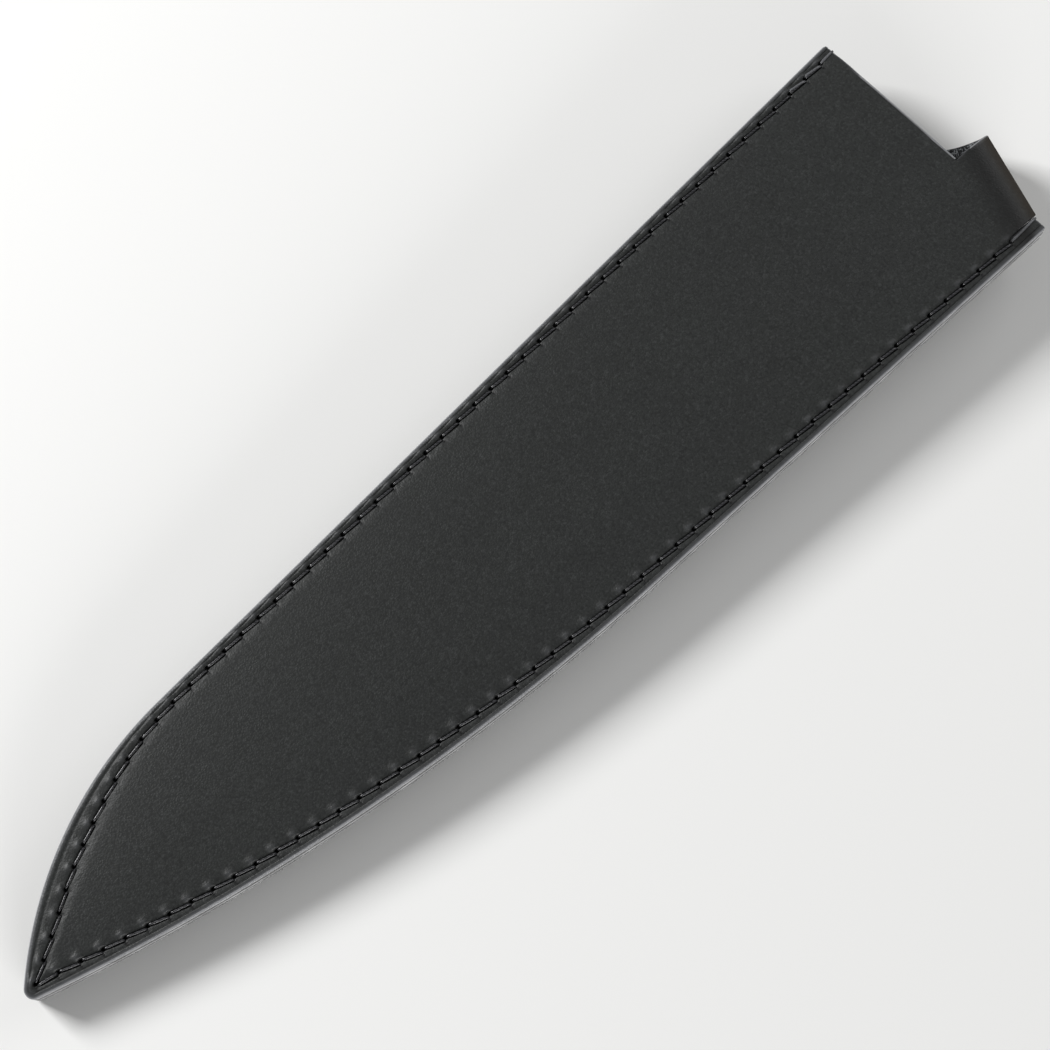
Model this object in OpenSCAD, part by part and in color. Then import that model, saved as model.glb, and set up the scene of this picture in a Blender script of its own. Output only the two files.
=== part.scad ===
// Leather blade guard for a long kitchen knife.
// The guard lies flat with its plain face up. +X runs from the tip to the mouth, +Y is the
// spine side and -Y the cutting-edge side. The leather at the heel folds round the blade's
// heel to the hidden side, where a snap holds it closed.

/* [Outline] */
// Length from the tip to the open mouth
guard_l = 245; // [220:1:280]
// Width across the mouth end, from spine to cutting edge
heel_w = 58.9; // [54:0.1:66]
// Depth of the tip below the straight line of the spine
tip_drop = 24.5; // [22:0.1:28]
// Distance from the tip at which the spine starts to bend down
nose_l = 54.5; // [50:0.5:58]
// Radius of the spine where it bends down to the tip
spine_r = 81; // [76:0.5:90]
// Distance from the tip at which the cutting edge becomes straight
edge_curve_l = 137.3; // [125:0.1:150]
// Radius of the cutting edge between the tip and its straight part
edge_r = 482; // [460:1:520]
// Angle of the straight part of the cutting edge to the spine
edge_angle = 3.3; // [2.5:0.1:4]
// Radius of the rounded tip
tip_r = 2; // [1:0.1:2.4]

/* [Leather] */
// Thickness of the leather
leather_t = 2; // [1.6:0.1:2.4]
// Thickness of the welt strips that are sewn between the panels
welt_t = 3; // [2.6:0.1:3.6]
// Width of the welt strips
welt_w = 4.5; // [4:0.1:6]
// Height by which each panel swells inside its seam
puff_h = 0.8; // [0.6:0.1:1.2]
// Distance from the rim at which the swelling starts
puff_start = 3.6; // [3.5:0.1:4.4]
// Width of the slope that leads up to the swollen middle
puff_slope = 2.6; // [2:0.1:4]

/* [Heel strap] */
// Width of the heel strap
strap_w = 19.1; // [16:0.1:21]
// Angle of the fold line from square to the spine
fold_angle = 18.2; // [14:0.1:22]
// Angle of the strap from square to its own fold line
strap_skew = 15; // [11:0.1:18]
// Distance from the mouth back to the lower end of the line where the strap starts to bend
fold_start = 2.7; // [2:0.1:3.4]
// Width of the seam flange beside the strap
flange_w = 3.45; // [3.45:0.05:3.8]
// Gap of the cut between the strap and the end of the seam flange
strap_cut = 0.35; // [0.3:0.05:0.5]
// Length by which the seam flange stands out past the mouth
flange_reach = 1.7; // [1:0.1:2]
// Distance of each fold axis outside the middle of the leather
fold_axis_out = 0.4; // [0.3:0.05:0.45]
// Radius of the bead that turns in each fold
bead_r = 0.55; // [0.45:0.05:0.6]
// Radial clearance round the bead
bead_gap = 0.25; // [0.25:0.05:0.35]
// Gap between the two leather ends at each fold
fold_gap = 0.1; // [0.08:0.01:0.15]

/* [Seams] */
// Distance of the stitches from the rim
seam_margin = 2.5; // [2.4:0.05:2.5]
// Number of stitches along the spine
spine_n = 53; // [46:1:56]
// Number of stitches along the cutting edge
edge_n = 52; // [46:1:56]
// Distance from the mouth to the last hole of the spine's seam
spine_end = 3.7; // [3:0.1:4.5]
// Distance from the mouth to the last hole of the edge's seam
heel_end = 5.3; // [4.5:0.1:6]
// Width of the thread
thread_w = 0.65; // [0.5:0.05:0.65]
// Height of the thread, which is also the depth of its groove
thread_h = 0.55; // [0.4:0.05:0.7]
// Sideways step of each stitch end, which slants the stitches
stitch_step = 0.42; // [0.42:0.01:0.44]
// Length of a stitch slit across the seam
slit_l = 1.66; // [1.64:0.02:1.7]
// Width of a stitch slit along the seam
slit_w = 0.9; // [0.85:0.05:1.1]

/* [Snap] */
// Distance of the snap from the end of the bend, along the strap
snap_reach = 26; // [20:0.5:30]
// Space between the closed strap and the back panel
snap_gap = 2.6; // [2.4:0.1:3]
// Diameter of the snap's cap
cap_d = 12.4; // [11:0.1:14]
// Height of the cap below the strap
cap_h = 1.2; // [1:0.1:1.6]
// Diameter of the cap's tube through the strap
cap_tube_d = 3.4; // [3:0.1:3.8]
// Outer diameter of the socket
socket_d = 10.6; // [10:0.1:11.5]
// Height of the socket
socket_h = 2; // [1.8:0.1:2.2]
// Diameter of the knob on the stud
knob_d = 5; // [4.6:0.1:5.2]
// Diameter of the stud's flange
stud_d = 9.6; // [9:0.1:10.4]
// Thickness of the flanges of the stud and its post
flange_t = 0.5; // [0.4:0.05:0.6]
// Diameter of the head of the post inside the pocket
post_head_d = 8; // [7:0.1:8.6]
// Diameter of the post's shank
post_d = 3.2; // [2.8:0.1:3.3]
// Radius of the spring wire in the socket
spring_r = 0.3; // [0.25:0.05:0.35]

/* [Hidden] */
$fn = 64;

// Small overlap for cuts and joined solids
eps = 0.2;
// Running fit of a metal tube in its hole
tube_fit = 0.05;
// Free space between the knob and the socket, which lets the strap swing open
knob_gap = 0.5;
// Length of the panel over which the strap's level part is carried
strap_root = 8;
// Distance before the bend at which the sides of the strap turn
strap_turn = 0.4;
// Distance before the bend at which the rest of the face panel ends
fold_inset = 0.3;
// Side play of the thread's groove past the slits
groove_play = 0.05;
// Number of straight pieces in each curve of the outline
curve_n = 24;

// Heights, from the flat of the cap upwards
strap_z = cap_h;
back_z = strap_z + leather_t + snap_gap;
pocket_h = welt_t + 2 * puff_h;
pocket_z = back_z + leather_t;
face_z = pocket_z + pocket_h;
top_z = face_z + leather_t;
back_flange_z = back_z + puff_h;
welt_z = back_flange_z + leather_t;
face_flange_z = welt_z + welt_t;
face_rim_z = face_flange_z + leather_t;
seam_mid_z = welt_z + welt_t / 2;

// The bend of the strap
bend_r = (top_z - strap_z) / 2;
bend_in_r = bend_r - leather_t;
bend_mid_r = bend_r - leather_t / 2;
bend_z = strap_z + bend_r;
quarter_l = bend_mid_r * PI / 2;
axis_r = bend_mid_r + fold_axis_out;
axis_x = axis_r * sin(45);
axis_z = axis_r * cos(45);
gap_angle = fold_gap / bend_mid_r * 180 / PI;
seat_r = bead_r + bead_gap;

// The outline: two curves that meet in a rounded tip
spine_y = tip_drop;
puff_end = puff_start + puff_slope;
function edge_y(x) = spine_y - heel_w + (guard_l - x) * tan(edge_angle);
spine_c = [nose_l, spine_y - spine_r];
edge_c = [edge_curve_l + edge_r * sin(edge_angle),
  edge_y(edge_curve_l) + edge_r * cos(edge_angle)];
function angle_of(v) = atan2(v[1], v[0]);
function along(c, r, a) = c + r * [cos(a), sin(a)];
function arc(c, r, a0, a1, n) = [for (i = [0:n]) along(c, r, a0 + (a1 - a0) * i / n)];
// Point near the tip at the distances r1 and r2 from the two centres
function meet(r1, r2) =
  let (v = edge_c - spine_c, d = norm(v), u = v / d)
  let (a = (r1 * r1 - r2 * r2 + d * d) / (2 * d), h = sqrt(r1 * r1 - a * a))
  spine_c + a * u + h * [-u[1], u[0]];
function corner(d) = meet(spine_r - d, edge_r - d);
tip_c = corner(tip_r);
edge_end_a = -90 - edge_angle;

// Outline moved inwards by d, open at the mouth end
function outline(d, end_x) =
  let (c = corner(max(d, tip_r)))
  let (a = angle_of(c - spine_c), b = angle_of(c - edge_c))
  concat(
    [[end_x, spine_y - d]],
    arc(spine_c, spine_r - d, 90, a, curve_n),
    d < tip_r ? arc(tip_c, tip_r - d, a, b + 360, 12) : [],
    arc(edge_c, edge_r - d, b, edge_end_a, curve_n),
    [[end_x, edge_y(end_x) + d / cos(edge_angle)]]
  );

// The fold line of the strap and the strap's own run round it
fold_dir = [sin(fold_angle), cos(fold_angle)];
strap_half = strap_w / cos(strap_skew) / 2;
function strap_y(u) = (u - quarter_l) * tan(strap_skew);
fold_low_x = guard_l - fold_start;
fold_low = [fold_low_x, edge_y(fold_low_x) + flange_w];
fold_o = fold_low + (strap_half - strap_y(0)) * fold_dir;
flange_end_x = guard_l + flange_reach;
joint_x = bend_mid_r * sin(45);
bend_skew = quarter_l / 2 * tan(strap_skew) / joint_x;
turn_skew = (quarter_l / 2 + strap_turn) * tan(strap_skew) / (joint_x + strap_turn);
// Middle of the strap seen from above, at the distance x outside the line where the bend starts
function plan_y(x) = strap_y(-strap_turn) + (x + strap_turn) * turn_skew;
snap_s = snap_reach * cos(strap_skew);
snap_y = strap_y(-snap_s);

// Overall size, which centres the guard on its origin
tip_x = tip_c[0] - tip_r;
end_x = fold_o[0] + bend_r * cos(fold_angle) + strap_half * sin(fold_angle);
low_y = edge_y(flange_end_x);
mid_x = (tip_x + end_x) / 2;
mid_y = (spine_y + low_y) / 2;

// Stitch holes: each seam starts at the corner of the tip
seam_c = corner(seam_margin);
spine_seam_r = spine_r - seam_margin;
spine_seam_a = angle_of(seam_c - spine_c);
spine_arc_l = spine_seam_r * (spine_seam_a - 90) * PI / 180;
edge_seam_r = edge_r - seam_margin;
edge_seam_a = angle_of(seam_c - edge_c);
edge_arc_l = edge_seam_r * (edge_end_a - edge_seam_a) * PI / 180;
edge_seam_t = along(edge_c, edge_seam_r, edge_end_a);
spine_pitch = (spine_arc_l + guard_l - nose_l - spine_end) / spine_n;
edge_pitch = (edge_arc_l + (guard_l - heel_end - edge_seam_t[0]) / cos(edge_angle)) / edge_n;
// Each hole is [x, y, direction of the seam]
function spine_hole(i) =
  let (s = i * spine_pitch, a = spine_seam_a - s / spine_seam_r * 180 / PI)
  s < spine_arc_l
  ? concat(along(spine_c, spine_seam_r, a), [a - 90])
  : [nose_l + s - spine_arc_l, spine_y - seam_margin, 0];
function edge_hole(i) =
  let (s = i * edge_pitch, a = edge_seam_a + s / edge_seam_r * 180 / PI)
  s < edge_arc_l
  ? concat(along(edge_c, edge_seam_r, a), [a + 90])
  : concat(along(edge_seam_t, s - edge_arc_l, -edge_angle), [-edge_angle]);
// Point beside a hole, the given step to the left of the seam's direction
function beside(hole, step) = [hole[0], hole[1]] + step * [-sin(hole[2]), cos(hole[2])];
// The two seams share the hole at the tip, so their first ends step further apart there
corner_step = stitch_step + 0.12;
corner_slit_l = slit_l + 2 * (corner_step - stitch_step);

// Snap, from the back panel down
snap_post_hole_r = post_d / 2 + tube_fit;
knob_r = knob_d / 2;
socket_bore_r = knob_r + knob_gap;
socket_floor_t = 0.4;
cap_flare_t = 0.25;
knob_h = snap_gap - flange_t - socket_floor_t - cap_flare_t - 0.15;

// Places the drawing, made from the tip, round the guard's own centre
module place() {
  translate([-mid_x, -mid_y, 0]) children();
}

// Frame of the fold: X outwards from the guard, Y along the fold line
module fold_frame() {
  translate([fold_o[0], fold_o[1], 0]) rotate(-fold_angle) children();
}

// A flat drawing of X and height, drawn out along the fold line
module along_fold() {
  rotate([90, 0, 0]) linear_extrude(6 * strap_w, center = true) children();
}

module at_snap() {
  fold_frame() translate([-snap_s, -snap_y, 0]) children();
}

module slits() {
  stitch_slit(spine_hole(0), corner_slit_l);
  stitch_slit(edge_hole(0), corner_slit_l);
  for (i = [1:spine_n]) stitch_slit(spine_hole(i), slit_l);
  for (i = [1:edge_n]) stitch_slit(edge_hole(i), slit_l);
}

module stitch_slit(hole, l) {
  translate([hole[0], hole[1]]) rotate(hole[2]) square([slit_w, l], center = true);
}

module outline_area(d, end) {
  polygon(outline(d, end));
}

// What is cut away at the mouth and past the line where the strap bends, moved out by d.
// The end of the seam flange stays, with the given width.
module mouth_cut(d, w) {
  p = fold_o + d * [cos(fold_angle), -sin(fold_angle)];
  low = (edge_y(0) + w - p[0] * tan(edge_angle) - p[1]) / (fold_dir[1] + fold_dir[0] * tan(edge_angle));
  high = (guard_l - p[0]) / fold_dir[0];
  far = 2 * guard_l;
  polygon([
    p + low * fold_dir,
    p + high * fold_dir,
    [guard_l, far],
    [far, far],
    [far, edge_y(far) + w]
  ]);
}

// Plan of the rim down to the depth d, with the slits for the stitches
module rim_area(d) {
  difference() {
    outline_area(0, flange_end_x);
    outline_area(d, guard_l + strap_w);
    slits();
  }
}

module seam_mouth_cut(d) {
  mouth_cut(d, flange_w - strap_cut);
}

// Groove that the thread lies in, from the height z up
module thread_groove(z) {
  translate([0, 0, z]) linear_extrude(thread_h + eps) difference() {
    union() {
      outline_area(seam_margin - slit_l / 2 - groove_play, guard_l + strap_w);
      translate(seam_c) circle(corner_slit_l / 2 + groove_play);
    }
    difference() {
      outline_area(seam_margin + slit_l / 2 + groove_play, guard_l + strap_w);
      translate(seam_c) circle(corner_slit_l / 2 + groove_play);
    }
  }
}

// Swollen middle of a panel with its slope. It swells towards +Z.
module puffed_middle() {
  difference() {
    hull() {
      linear_extrude(leather_t) outline_area(puff_start, guard_l + 1);
      translate([0, 0, puff_h]) linear_extrude(leather_t) outline_area(puff_end, guard_l + 1);
    }
    hull() {
      translate([0, 0, -1]) linear_extrude(1) outline_area(puff_start, guard_l + 2);
      translate([0, 0, puff_h - 1]) linear_extrude(1) outline_area(puff_end, guard_l + 2);
    }
  }
}

// A whole panel without its strap, cut off at the mouth and along the fold moved out by d
module panel(d) {
  difference() {
    union() {
      linear_extrude(leather_t) rim_area(puff_start + eps);
      puffed_middle();
    }
    translate([0, 0, -1]) linear_extrude(3 * leather_t) seam_mouth_cut(d);
    thread_groove(leather_t - thread_h);
  }
}

// Section of the bend between two angles, measured from the top
module bend_section(a0, a1) {
  intersection() {
    difference() {
      circle(bend_r);
      circle(bend_in_r);
    }
    polygon(concat([[0, 0]], [for (i = [0:4])
      let (a = a0 + (a1 - a0) * i / 4) 2 * bend_r * [sin(a), cos(a)]]));
  }
}

module fold_axis_section(side, r) {
  translate([axis_x, side * axis_z]) circle(r, $fn = 32);
}

// Level end of the strap with the part of the bend up to the first fold axis. It is drawn
// round the middle of the bend, and the given points end its plan on the level side.
module strap_end(level_points) {
  intersection() {
    along_fold() difference() {
      union() {
        bend_section(0, 45);
        translate([-3 * strap_w, bend_in_r]) square([3 * strap_w, leather_t]);
      }
      fold_axis_section(1, seat_r);
    }
    linear_extrude(2 * bend_r) polygon(concat(
      [
        [-strap_turn, plan_y(-strap_turn) - strap_half],
        [2 * bend_r, plan_y(2 * bend_r) - strap_half],
        [2 * bend_r, plan_y(2 * bend_r) + strap_half],
        [-strap_turn, plan_y(-strap_turn) + strap_half]
      ],
      level_points
    ));
  }
}

module face_panel() {
  color([0.17, 0.17, 0.18]) place() {
    translate([0, 0, face_flange_z]) panel(-fold_inset);
    fold_frame() translate([0, 0, bend_z]) strap_end([
      [-strap_root, strap_y(-strap_root) + strap_half],
      [-strap_root, strap_y(-strap_root) - strap_half]
    ]);
  }
}

// Middle of the bend, with a bead on each fold axis
module heel_bend() {
  color([0.2, 0.19, 0.18]) place() fold_frame() translate([0, 0, bend_z]) intersection() {
    along_fold() union() {
      bend_section(45 + gap_angle, 135 - gap_angle);
      fold_axis_section(1, bead_r);
      fold_axis_section(-1, bead_r);
    }
    rotate([0, 90, 0]) linear_extrude(2 * bend_r) polygon([
      [-2 * bend_r, -2 * bend_r * bend_skew - strap_half],
      [-2 * bend_r, -2 * bend_r * bend_skew + strap_half],
      [2 * bend_r, 2 * bend_r * bend_skew + strap_half],
      [2 * bend_r, 2 * bend_r * bend_skew - strap_half]
    ]);
  }
}

module heel_flap() {
  color([0.19, 0.19, 0.2]) place() difference() {
    fold_frame() translate([0, 0, bend_z]) rotate([180, 0, 0])
      strap_end(arc([-snap_s, snap_y], strap_w / 2, 90 + strap_skew, 270 + strap_skew, curve_n));
    at_snap() translate([0, 0, strap_z - eps])
      cylinder(r = cap_tube_d / 2 + tube_fit, h = leather_t + 2 * eps);
  }
}

module back_panel() {
  color([0.16, 0.16, 0.17]) place() difference() {
    translate([0, 0, welt_z]) mirror([0, 0, 1]) panel(bend_in_r / 3);
    at_snap() {
      translate([0, 0, back_z - eps]) cylinder(r = snap_post_hole_r, h = leather_t + 2 * eps);
      translate([0, 0, pocket_z - flange_t])
        cylinder(r = post_head_d / 2 + tube_fit, h = flange_t + eps);
    }
  }
}

// Plan of the welts
module welt_area() {
  difference() {
    rim_area(welt_w);
    seam_mouth_cut(0);
  }
}

// Line on which the two welts meet at the tip, carried on through the empty pocket
module spine_half() {
  c = corner(welt_w);
  u = (c - tip_c) / norm(c - tip_c);
  p = c - 4 * welt_w * u;
  polygon([p, c, [2 * guard_l, c[1]], [2 * guard_l, 2 * heel_w], [p[0], 2 * heel_w]]);
}

module edge_welt() {
  color([0.24, 0.2, 0.17]) place() translate([0, 0, welt_z]) linear_extrude(welt_t) difference() {
    welt_area();
    spine_half();
  }
}

module spine_welt() {
  color([0.26, 0.21, 0.18]) place() translate([0, 0, welt_z]) linear_extrude(welt_t) intersection() {
    welt_area();
    spine_half();
  }
}

// One stitch between two points: the thread on the surface and its two ends in the slits.
// It is drawn upwards from the middle of the welt.
module stitch(a, b) {
  leg_h = face_rim_z - seam_mid_z;
  l = norm(b - a);
  r = thread_w / 2;
  translate([a[0], a[1]]) rotate([90, 0, angle_of(b - a)]) linear_extrude(thread_w, center = true)
    polygon([
      [-r, 0], [r, 0], [r, leg_h - thread_h], [l - r, leg_h - thread_h], [l - r, 0], [l + r, 0],
      [l + r, leg_h - r / 2], [l + r / 2, leg_h], [-r / 2, leg_h], [-r, leg_h - r / 2]
    ]);
}

module spine_stitches() {
  for (i = [0:spine_n - 1])
    stitch(
      beside(spine_hole(i), i == 0 ? corner_step : stitch_step),
      beside(spine_hole(i + 1), -stitch_step)
    );
}

module edge_stitches() {
  for (i = [0:edge_n - 1])
    stitch(
      beside(edge_hole(i), i == 0 ? -corner_step : stitch_step),
      beside(edge_hole(i + 1), -stitch_step)
    );
}

module spine_thread_face() {
  color([0.1, 0.1, 0.1]) place() translate([0, 0, seam_mid_z]) spine_stitches();
}

module spine_thread_back() {
  color([0.1, 0.1, 0.1]) place() translate([0, 0, seam_mid_z]) mirror([0, 0, 1]) spine_stitches();
}

module edge_thread_face() {
  color([0.12, 0.12, 0.12]) place() translate([0, 0, seam_mid_z]) edge_stitches();
}

module edge_thread_back() {
  color([0.12, 0.12, 0.12]) place() translate([0, 0, seam_mid_z]) mirror([0, 0, 1]) edge_stitches();
}

// Last turn of a seam: it comes out of the last hole and goes round the end of the leather.
// It leans sideways by the given angle and reaches the given length past its hole.
module end_loop(hole, reach, lean) {
  start = beside(hole, stitch_step);
  h = face_rim_z - back_flange_z;
  r = thread_w / 2;
  translate([start[0], start[1], back_flange_z]) rotate([90, 0, hole[2] + lean])
    linear_extrude(thread_w, center = true) difference() {
      translate([-r, 0]) square([reach + thread_h + r, h]);
      translate([r, thread_h]) square([reach - r, h - 2 * thread_h]);
    }
}

module spine_end_loop() {
  hole = spine_hole(spine_n);
  color([0.1, 0.1, 0.1]) place() end_loop(hole, guard_l - hole[0], 0);
}

module heel_end_loop() {
  hole = edge_hole(edge_n);
  reach = flange_end_x - hole[0];
  color([0.12, 0.12, 0.12]) place() end_loop(hole, reach + thread_w / 2, -atan(2 * stitch_step / reach));
}

// Cap of the snap: a low dome with a flat crown below the strap and a tube through it
module snap_cap() {
  crown_r = cap_d / 2 - cap_h;
  tube_h = strap_z + leather_t + socket_floor_t;
  color([0.75, 0.75, 0.74]) place() at_snap() {
    rotate_extrude() union() {
      square([crown_r, cap_h]);
      intersection() {
        translate([crown_r, cap_h]) circle(cap_h);
        square([cap_d / 2, cap_h]);
      }
    }
    translate([0, 0, cap_h - eps]) cylinder(d = cap_tube_d, h = tube_h - cap_h + eps);
    translate([0, 0, tube_h]) cylinder(d = cap_tube_d + 4 * cap_flare_t, h = cap_flare_t);
  }
}

module snap_socket() {
  z = strap_z + leather_t;
  groove_z = z + socket_h - socket_floor_t - 2 * spring_r;
  color([0.72, 0.72, 0.71]) place() at_snap() difference() {
    translate([0, 0, z]) cylinder(d = socket_d, h = socket_h);
    translate([0, 0, z - eps]) cylinder(r = cap_tube_d / 2 + tube_fit, h = socket_floor_t + 2 * eps);
    translate([0, 0, z + socket_floor_t]) cylinder(r = socket_bore_r, h = socket_h);
    translate([0, 0, groove_z - tube_fit])
      cylinder(r = socket_bore_r + 2 * spring_r, h = 2 * (spring_r + tube_fit));
  }
}

// Split wire ring that grips the knob
module snap_spring() {
  z = strap_z + leather_t + socket_h - socket_floor_t - spring_r;
  color([0.6, 0.6, 0.6]) place() at_snap() translate([0, 0, z])
    rotate_extrude(angle = 330) translate([socket_bore_r + spring_r - tube_fit, 0])
      circle(spring_r, $fn = 24);
}

// Stud: its knob hangs down from a flange under the back panel
module snap_stud() {
  knob_bottom = back_z - flange_t - knob_h;
  round_r = knob_h / 3;
  color([0.74, 0.74, 0.73]) place() at_snap() difference() {
    union() {
      translate([0, 0, back_z - flange_t]) cylinder(d = stud_d, h = flange_t);
      translate([0, 0, knob_bottom]) rotate_extrude() union() {
        translate([0, round_r]) square([knob_r, knob_h - round_r + eps]);
        square([knob_r - round_r, knob_h]);
        translate([knob_r - round_r, round_r]) circle(round_r, $fn = 32);
      }
    }
    translate([0, 0, knob_bottom + flange_t]) cylinder(r = snap_post_hole_r, h = 2 * snap_gap);
  }
}

// Post of the stud, let into the back panel so that its head is flush in the pocket
module snap_post() {
  shank_bottom = back_z - flange_t - knob_h + flange_t + tube_fit;
  color([0.76, 0.76, 0.75]) place() at_snap() {
    translate([0, 0, pocket_z - flange_t]) cylinder(d = post_head_d, h = flange_t);
    translate([0, 0, shank_bottom]) cylinder(d = post_d, h = pocket_z - shank_bottom);
  }
}

face_panel();
heel_bend();
heel_flap();
back_panel();
edge_welt();
spine_welt();
spine_thread_face();
spine_thread_back();
edge_thread_face();
edge_thread_back();
spine_end_loop();
heel_end_loop();
snap_cap();
snap_socket();
snap_spring();
snap_stud();
snap_post();
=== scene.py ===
# %% [markdown]
# # A black leather guard for a long kitchen knife
# The guard is two leather panels with a strip of leather between them along the spine and
# along the cutting edge. A saddle stitch goes round the rim through all the layers. At the
# heel the face panel runs on as a strap, which folds round to the back and snaps shut.
# The solids come from the part's own model. This lesson puts the fine leather over them.

import math
import random

import bmesh
import bpy
from mathutils import Matrix, Vector
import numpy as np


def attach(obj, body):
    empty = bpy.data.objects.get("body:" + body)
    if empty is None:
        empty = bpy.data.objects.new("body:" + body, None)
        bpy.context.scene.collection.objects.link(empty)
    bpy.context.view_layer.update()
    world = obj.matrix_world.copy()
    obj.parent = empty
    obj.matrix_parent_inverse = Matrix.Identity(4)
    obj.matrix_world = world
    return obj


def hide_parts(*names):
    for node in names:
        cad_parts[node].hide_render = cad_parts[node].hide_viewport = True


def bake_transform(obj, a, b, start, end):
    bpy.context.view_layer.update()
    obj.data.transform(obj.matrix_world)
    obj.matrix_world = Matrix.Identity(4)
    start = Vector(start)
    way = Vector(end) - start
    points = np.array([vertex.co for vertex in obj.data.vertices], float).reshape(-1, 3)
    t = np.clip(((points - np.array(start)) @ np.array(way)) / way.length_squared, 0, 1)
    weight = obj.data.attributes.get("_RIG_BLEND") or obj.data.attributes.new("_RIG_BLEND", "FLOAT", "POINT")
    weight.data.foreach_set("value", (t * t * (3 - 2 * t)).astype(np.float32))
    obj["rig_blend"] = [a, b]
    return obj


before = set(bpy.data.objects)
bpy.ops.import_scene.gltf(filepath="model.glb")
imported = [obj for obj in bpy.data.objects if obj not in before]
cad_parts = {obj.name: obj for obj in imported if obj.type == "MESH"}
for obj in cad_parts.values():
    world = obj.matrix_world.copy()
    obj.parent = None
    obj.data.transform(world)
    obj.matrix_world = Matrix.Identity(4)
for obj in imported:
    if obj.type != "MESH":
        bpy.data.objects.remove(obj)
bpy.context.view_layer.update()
MM = 0.001

# %% [markdown]
# ## The outline
# The guard is drawn in millimetres from its tip, as on the maker's pattern: +X to the mouth
# and +Y to the spine. The spine is straight and then bends down on an arc, the cutting edge
# is one long arc and then straight, and a small circle rounds the tip. An inner line at the
# depth d has the same centres and smaller radii, so every row of the surface can be placed
# with the same few functions.

# %% Sizes of the pattern
GUARD_L, HEEL_W, TIP_DROP, NOSE_L = 245.0, 58.9, 24.5, 54.5
SPINE_R, EDGE_CURVE_L, EDGE_R, TIP_R = 81.0, 137.3, 482.0, 2.0
EDGE_ANGLE = math.radians(3.3)
FLANGE_END = GUARD_L + 1.7
MID = Vector((127.353, -4.999, 0.0))


def turned(angle):
    return Vector((math.cos(angle), math.sin(angle)))


def edge_y(x):
    return TIP_DROP - HEEL_W + (GUARD_L - x) * math.tan(EDGE_ANGLE)


SPINE_C = Vector((NOSE_L, TIP_DROP - SPINE_R))
EDGE_C = Vector((
    EDGE_CURVE_L + EDGE_R * math.sin(EDGE_ANGLE),
    edge_y(EDGE_CURVE_L) + EDGE_R * math.cos(EDGE_ANGLE),
))


def corner(d):
    """Point near the tip that lies d inside both curves."""
    r1, r2 = SPINE_R - d, EDGE_R - d
    between = EDGE_C - SPINE_C
    u = between.normalized()
    a = (r1 * r1 - r2 * r2 + between.length_squared) / (2 * between.length)
    return SPINE_C + u * a + Vector((-u.y, u.x)) * math.sqrt(r1 * r1 - a * a)


def angle_at(point, centre):
    return math.atan2(point.y - centre.y, point.x - centre.x)


TIP_C = corner(TIP_R)
EDGE_END_A = -math.pi / 2 - EDGE_ANGLE
EDGE_RUN = Vector((math.cos(EDGE_ANGLE), -math.sin(EDGE_ANGLE)))
print("tip circle at", TIP_C)

# %% [markdown]
# ## The stitch holes
# The holes are pricked at an even pitch, 2.5 mm in from the rim. Over the nose the seam cuts
# the corner and lies up to 2.1 mm further in. Both seams start in one hole at the tip. Each
# stitch leaves its hole on the left and comes in on the right of the next one, which is the
# slant that a saddle stitch has.

# %% Seams
TURN = 2 * math.pi
SEAM, INNER = 2.5, 7.1
SEAM_C = corner(SEAM)
SPINE_ARC = (SPINE_R - SEAM) * (angle_at(SEAM_C, SPINE_C) - math.pi / 2)
EDGE_ARC = (EDGE_R - SEAM) * (EDGE_END_A - angle_at(SEAM_C, EDGE_C) % TURN + TURN)
EDGE_JOIN = EDGE_C + turned(EDGE_END_A) * (EDGE_R - SEAM)
HOLES = {"spine": 53, "edge": 52}
SPINE_GAP, EDGE_GAP = 3.7, 5.3
SPINE_LAST = SPINE_ARC + GUARD_L - NOSE_L - SPINE_GAP
EDGE_LAST = EDGE_ARC + (GUARD_L - EDGE_GAP - EDGE_JOIN.x) / math.cos(EDGE_ANGLE)
PITCH = {"spine": SPINE_LAST / HOLES["spine"], "edge": EDGE_LAST / HOLES["edge"]}
# Over the nose: how far in the seam moves, where along it that starts and ends, and which rows.
NOSE_IN, NOSE_START, NOSE_END = 2.1, 16.0, (26.0, 64.0)
NOSE_ROW, NOSE_ROWS_W, NOSE_FADE = 0.75, 1.6, 3.2


def limited(x):
    return min(1.0, max(0.0, x))


def smooth(a, b, x):
    t = limited((x - a) / (b - a))
    return t * t * (3 - 2 * t)


def nose_shift(s, d):
    """How much further in a row lies over the nose than the rim's own curve."""
    along = 1 - (1 - min(1.0, s / NOSE_START)) ** 2 - smooth(*NOSE_END, s)
    across = limited((d - NOSE_ROW) / NOSE_ROWS_W) * (1 - smooth(NOSE_FADE, INNER, d))
    return NOSE_IN * max(0.0, along) * across


def rim_point(side, s, d):
    """Point at the depth d inside the rim, beside the place s along the seam."""
    at_corner = corner(max(d, TIP_R))
    if side == "spine":
        start = angle_at(at_corner, SPINE_C)
        d += nose_shift(s, d)
        if s < SPINE_ARC:
            angle = start + (math.pi / 2 - start) * s / SPINE_ARC
            return SPINE_C + turned(angle) * (SPINE_R - d)
        return Vector((NOSE_L + s - SPINE_ARC, TIP_DROP - d))
    start = angle_at(at_corner, EDGE_C) % TURN - TURN
    angle = start + (EDGE_END_A - start) * min(1.0, s / EDGE_ARC)
    return EDGE_C + turned(angle) * (EDGE_R - d) + EDGE_RUN * max(0.0, s - EDGE_ARC)


def hole(side, i):
    """Place and direction of a stitch hole."""
    s, near = i * PITCH[side], 0.05
    ahead = rim_point(side, s + near, SEAM) - rim_point(side, max(s - near, 0), SEAM)
    return rim_point(side, s, SEAM), ahead.normalized()


def left_of(along):
    return Vector((-along.y, along.x))


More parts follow.
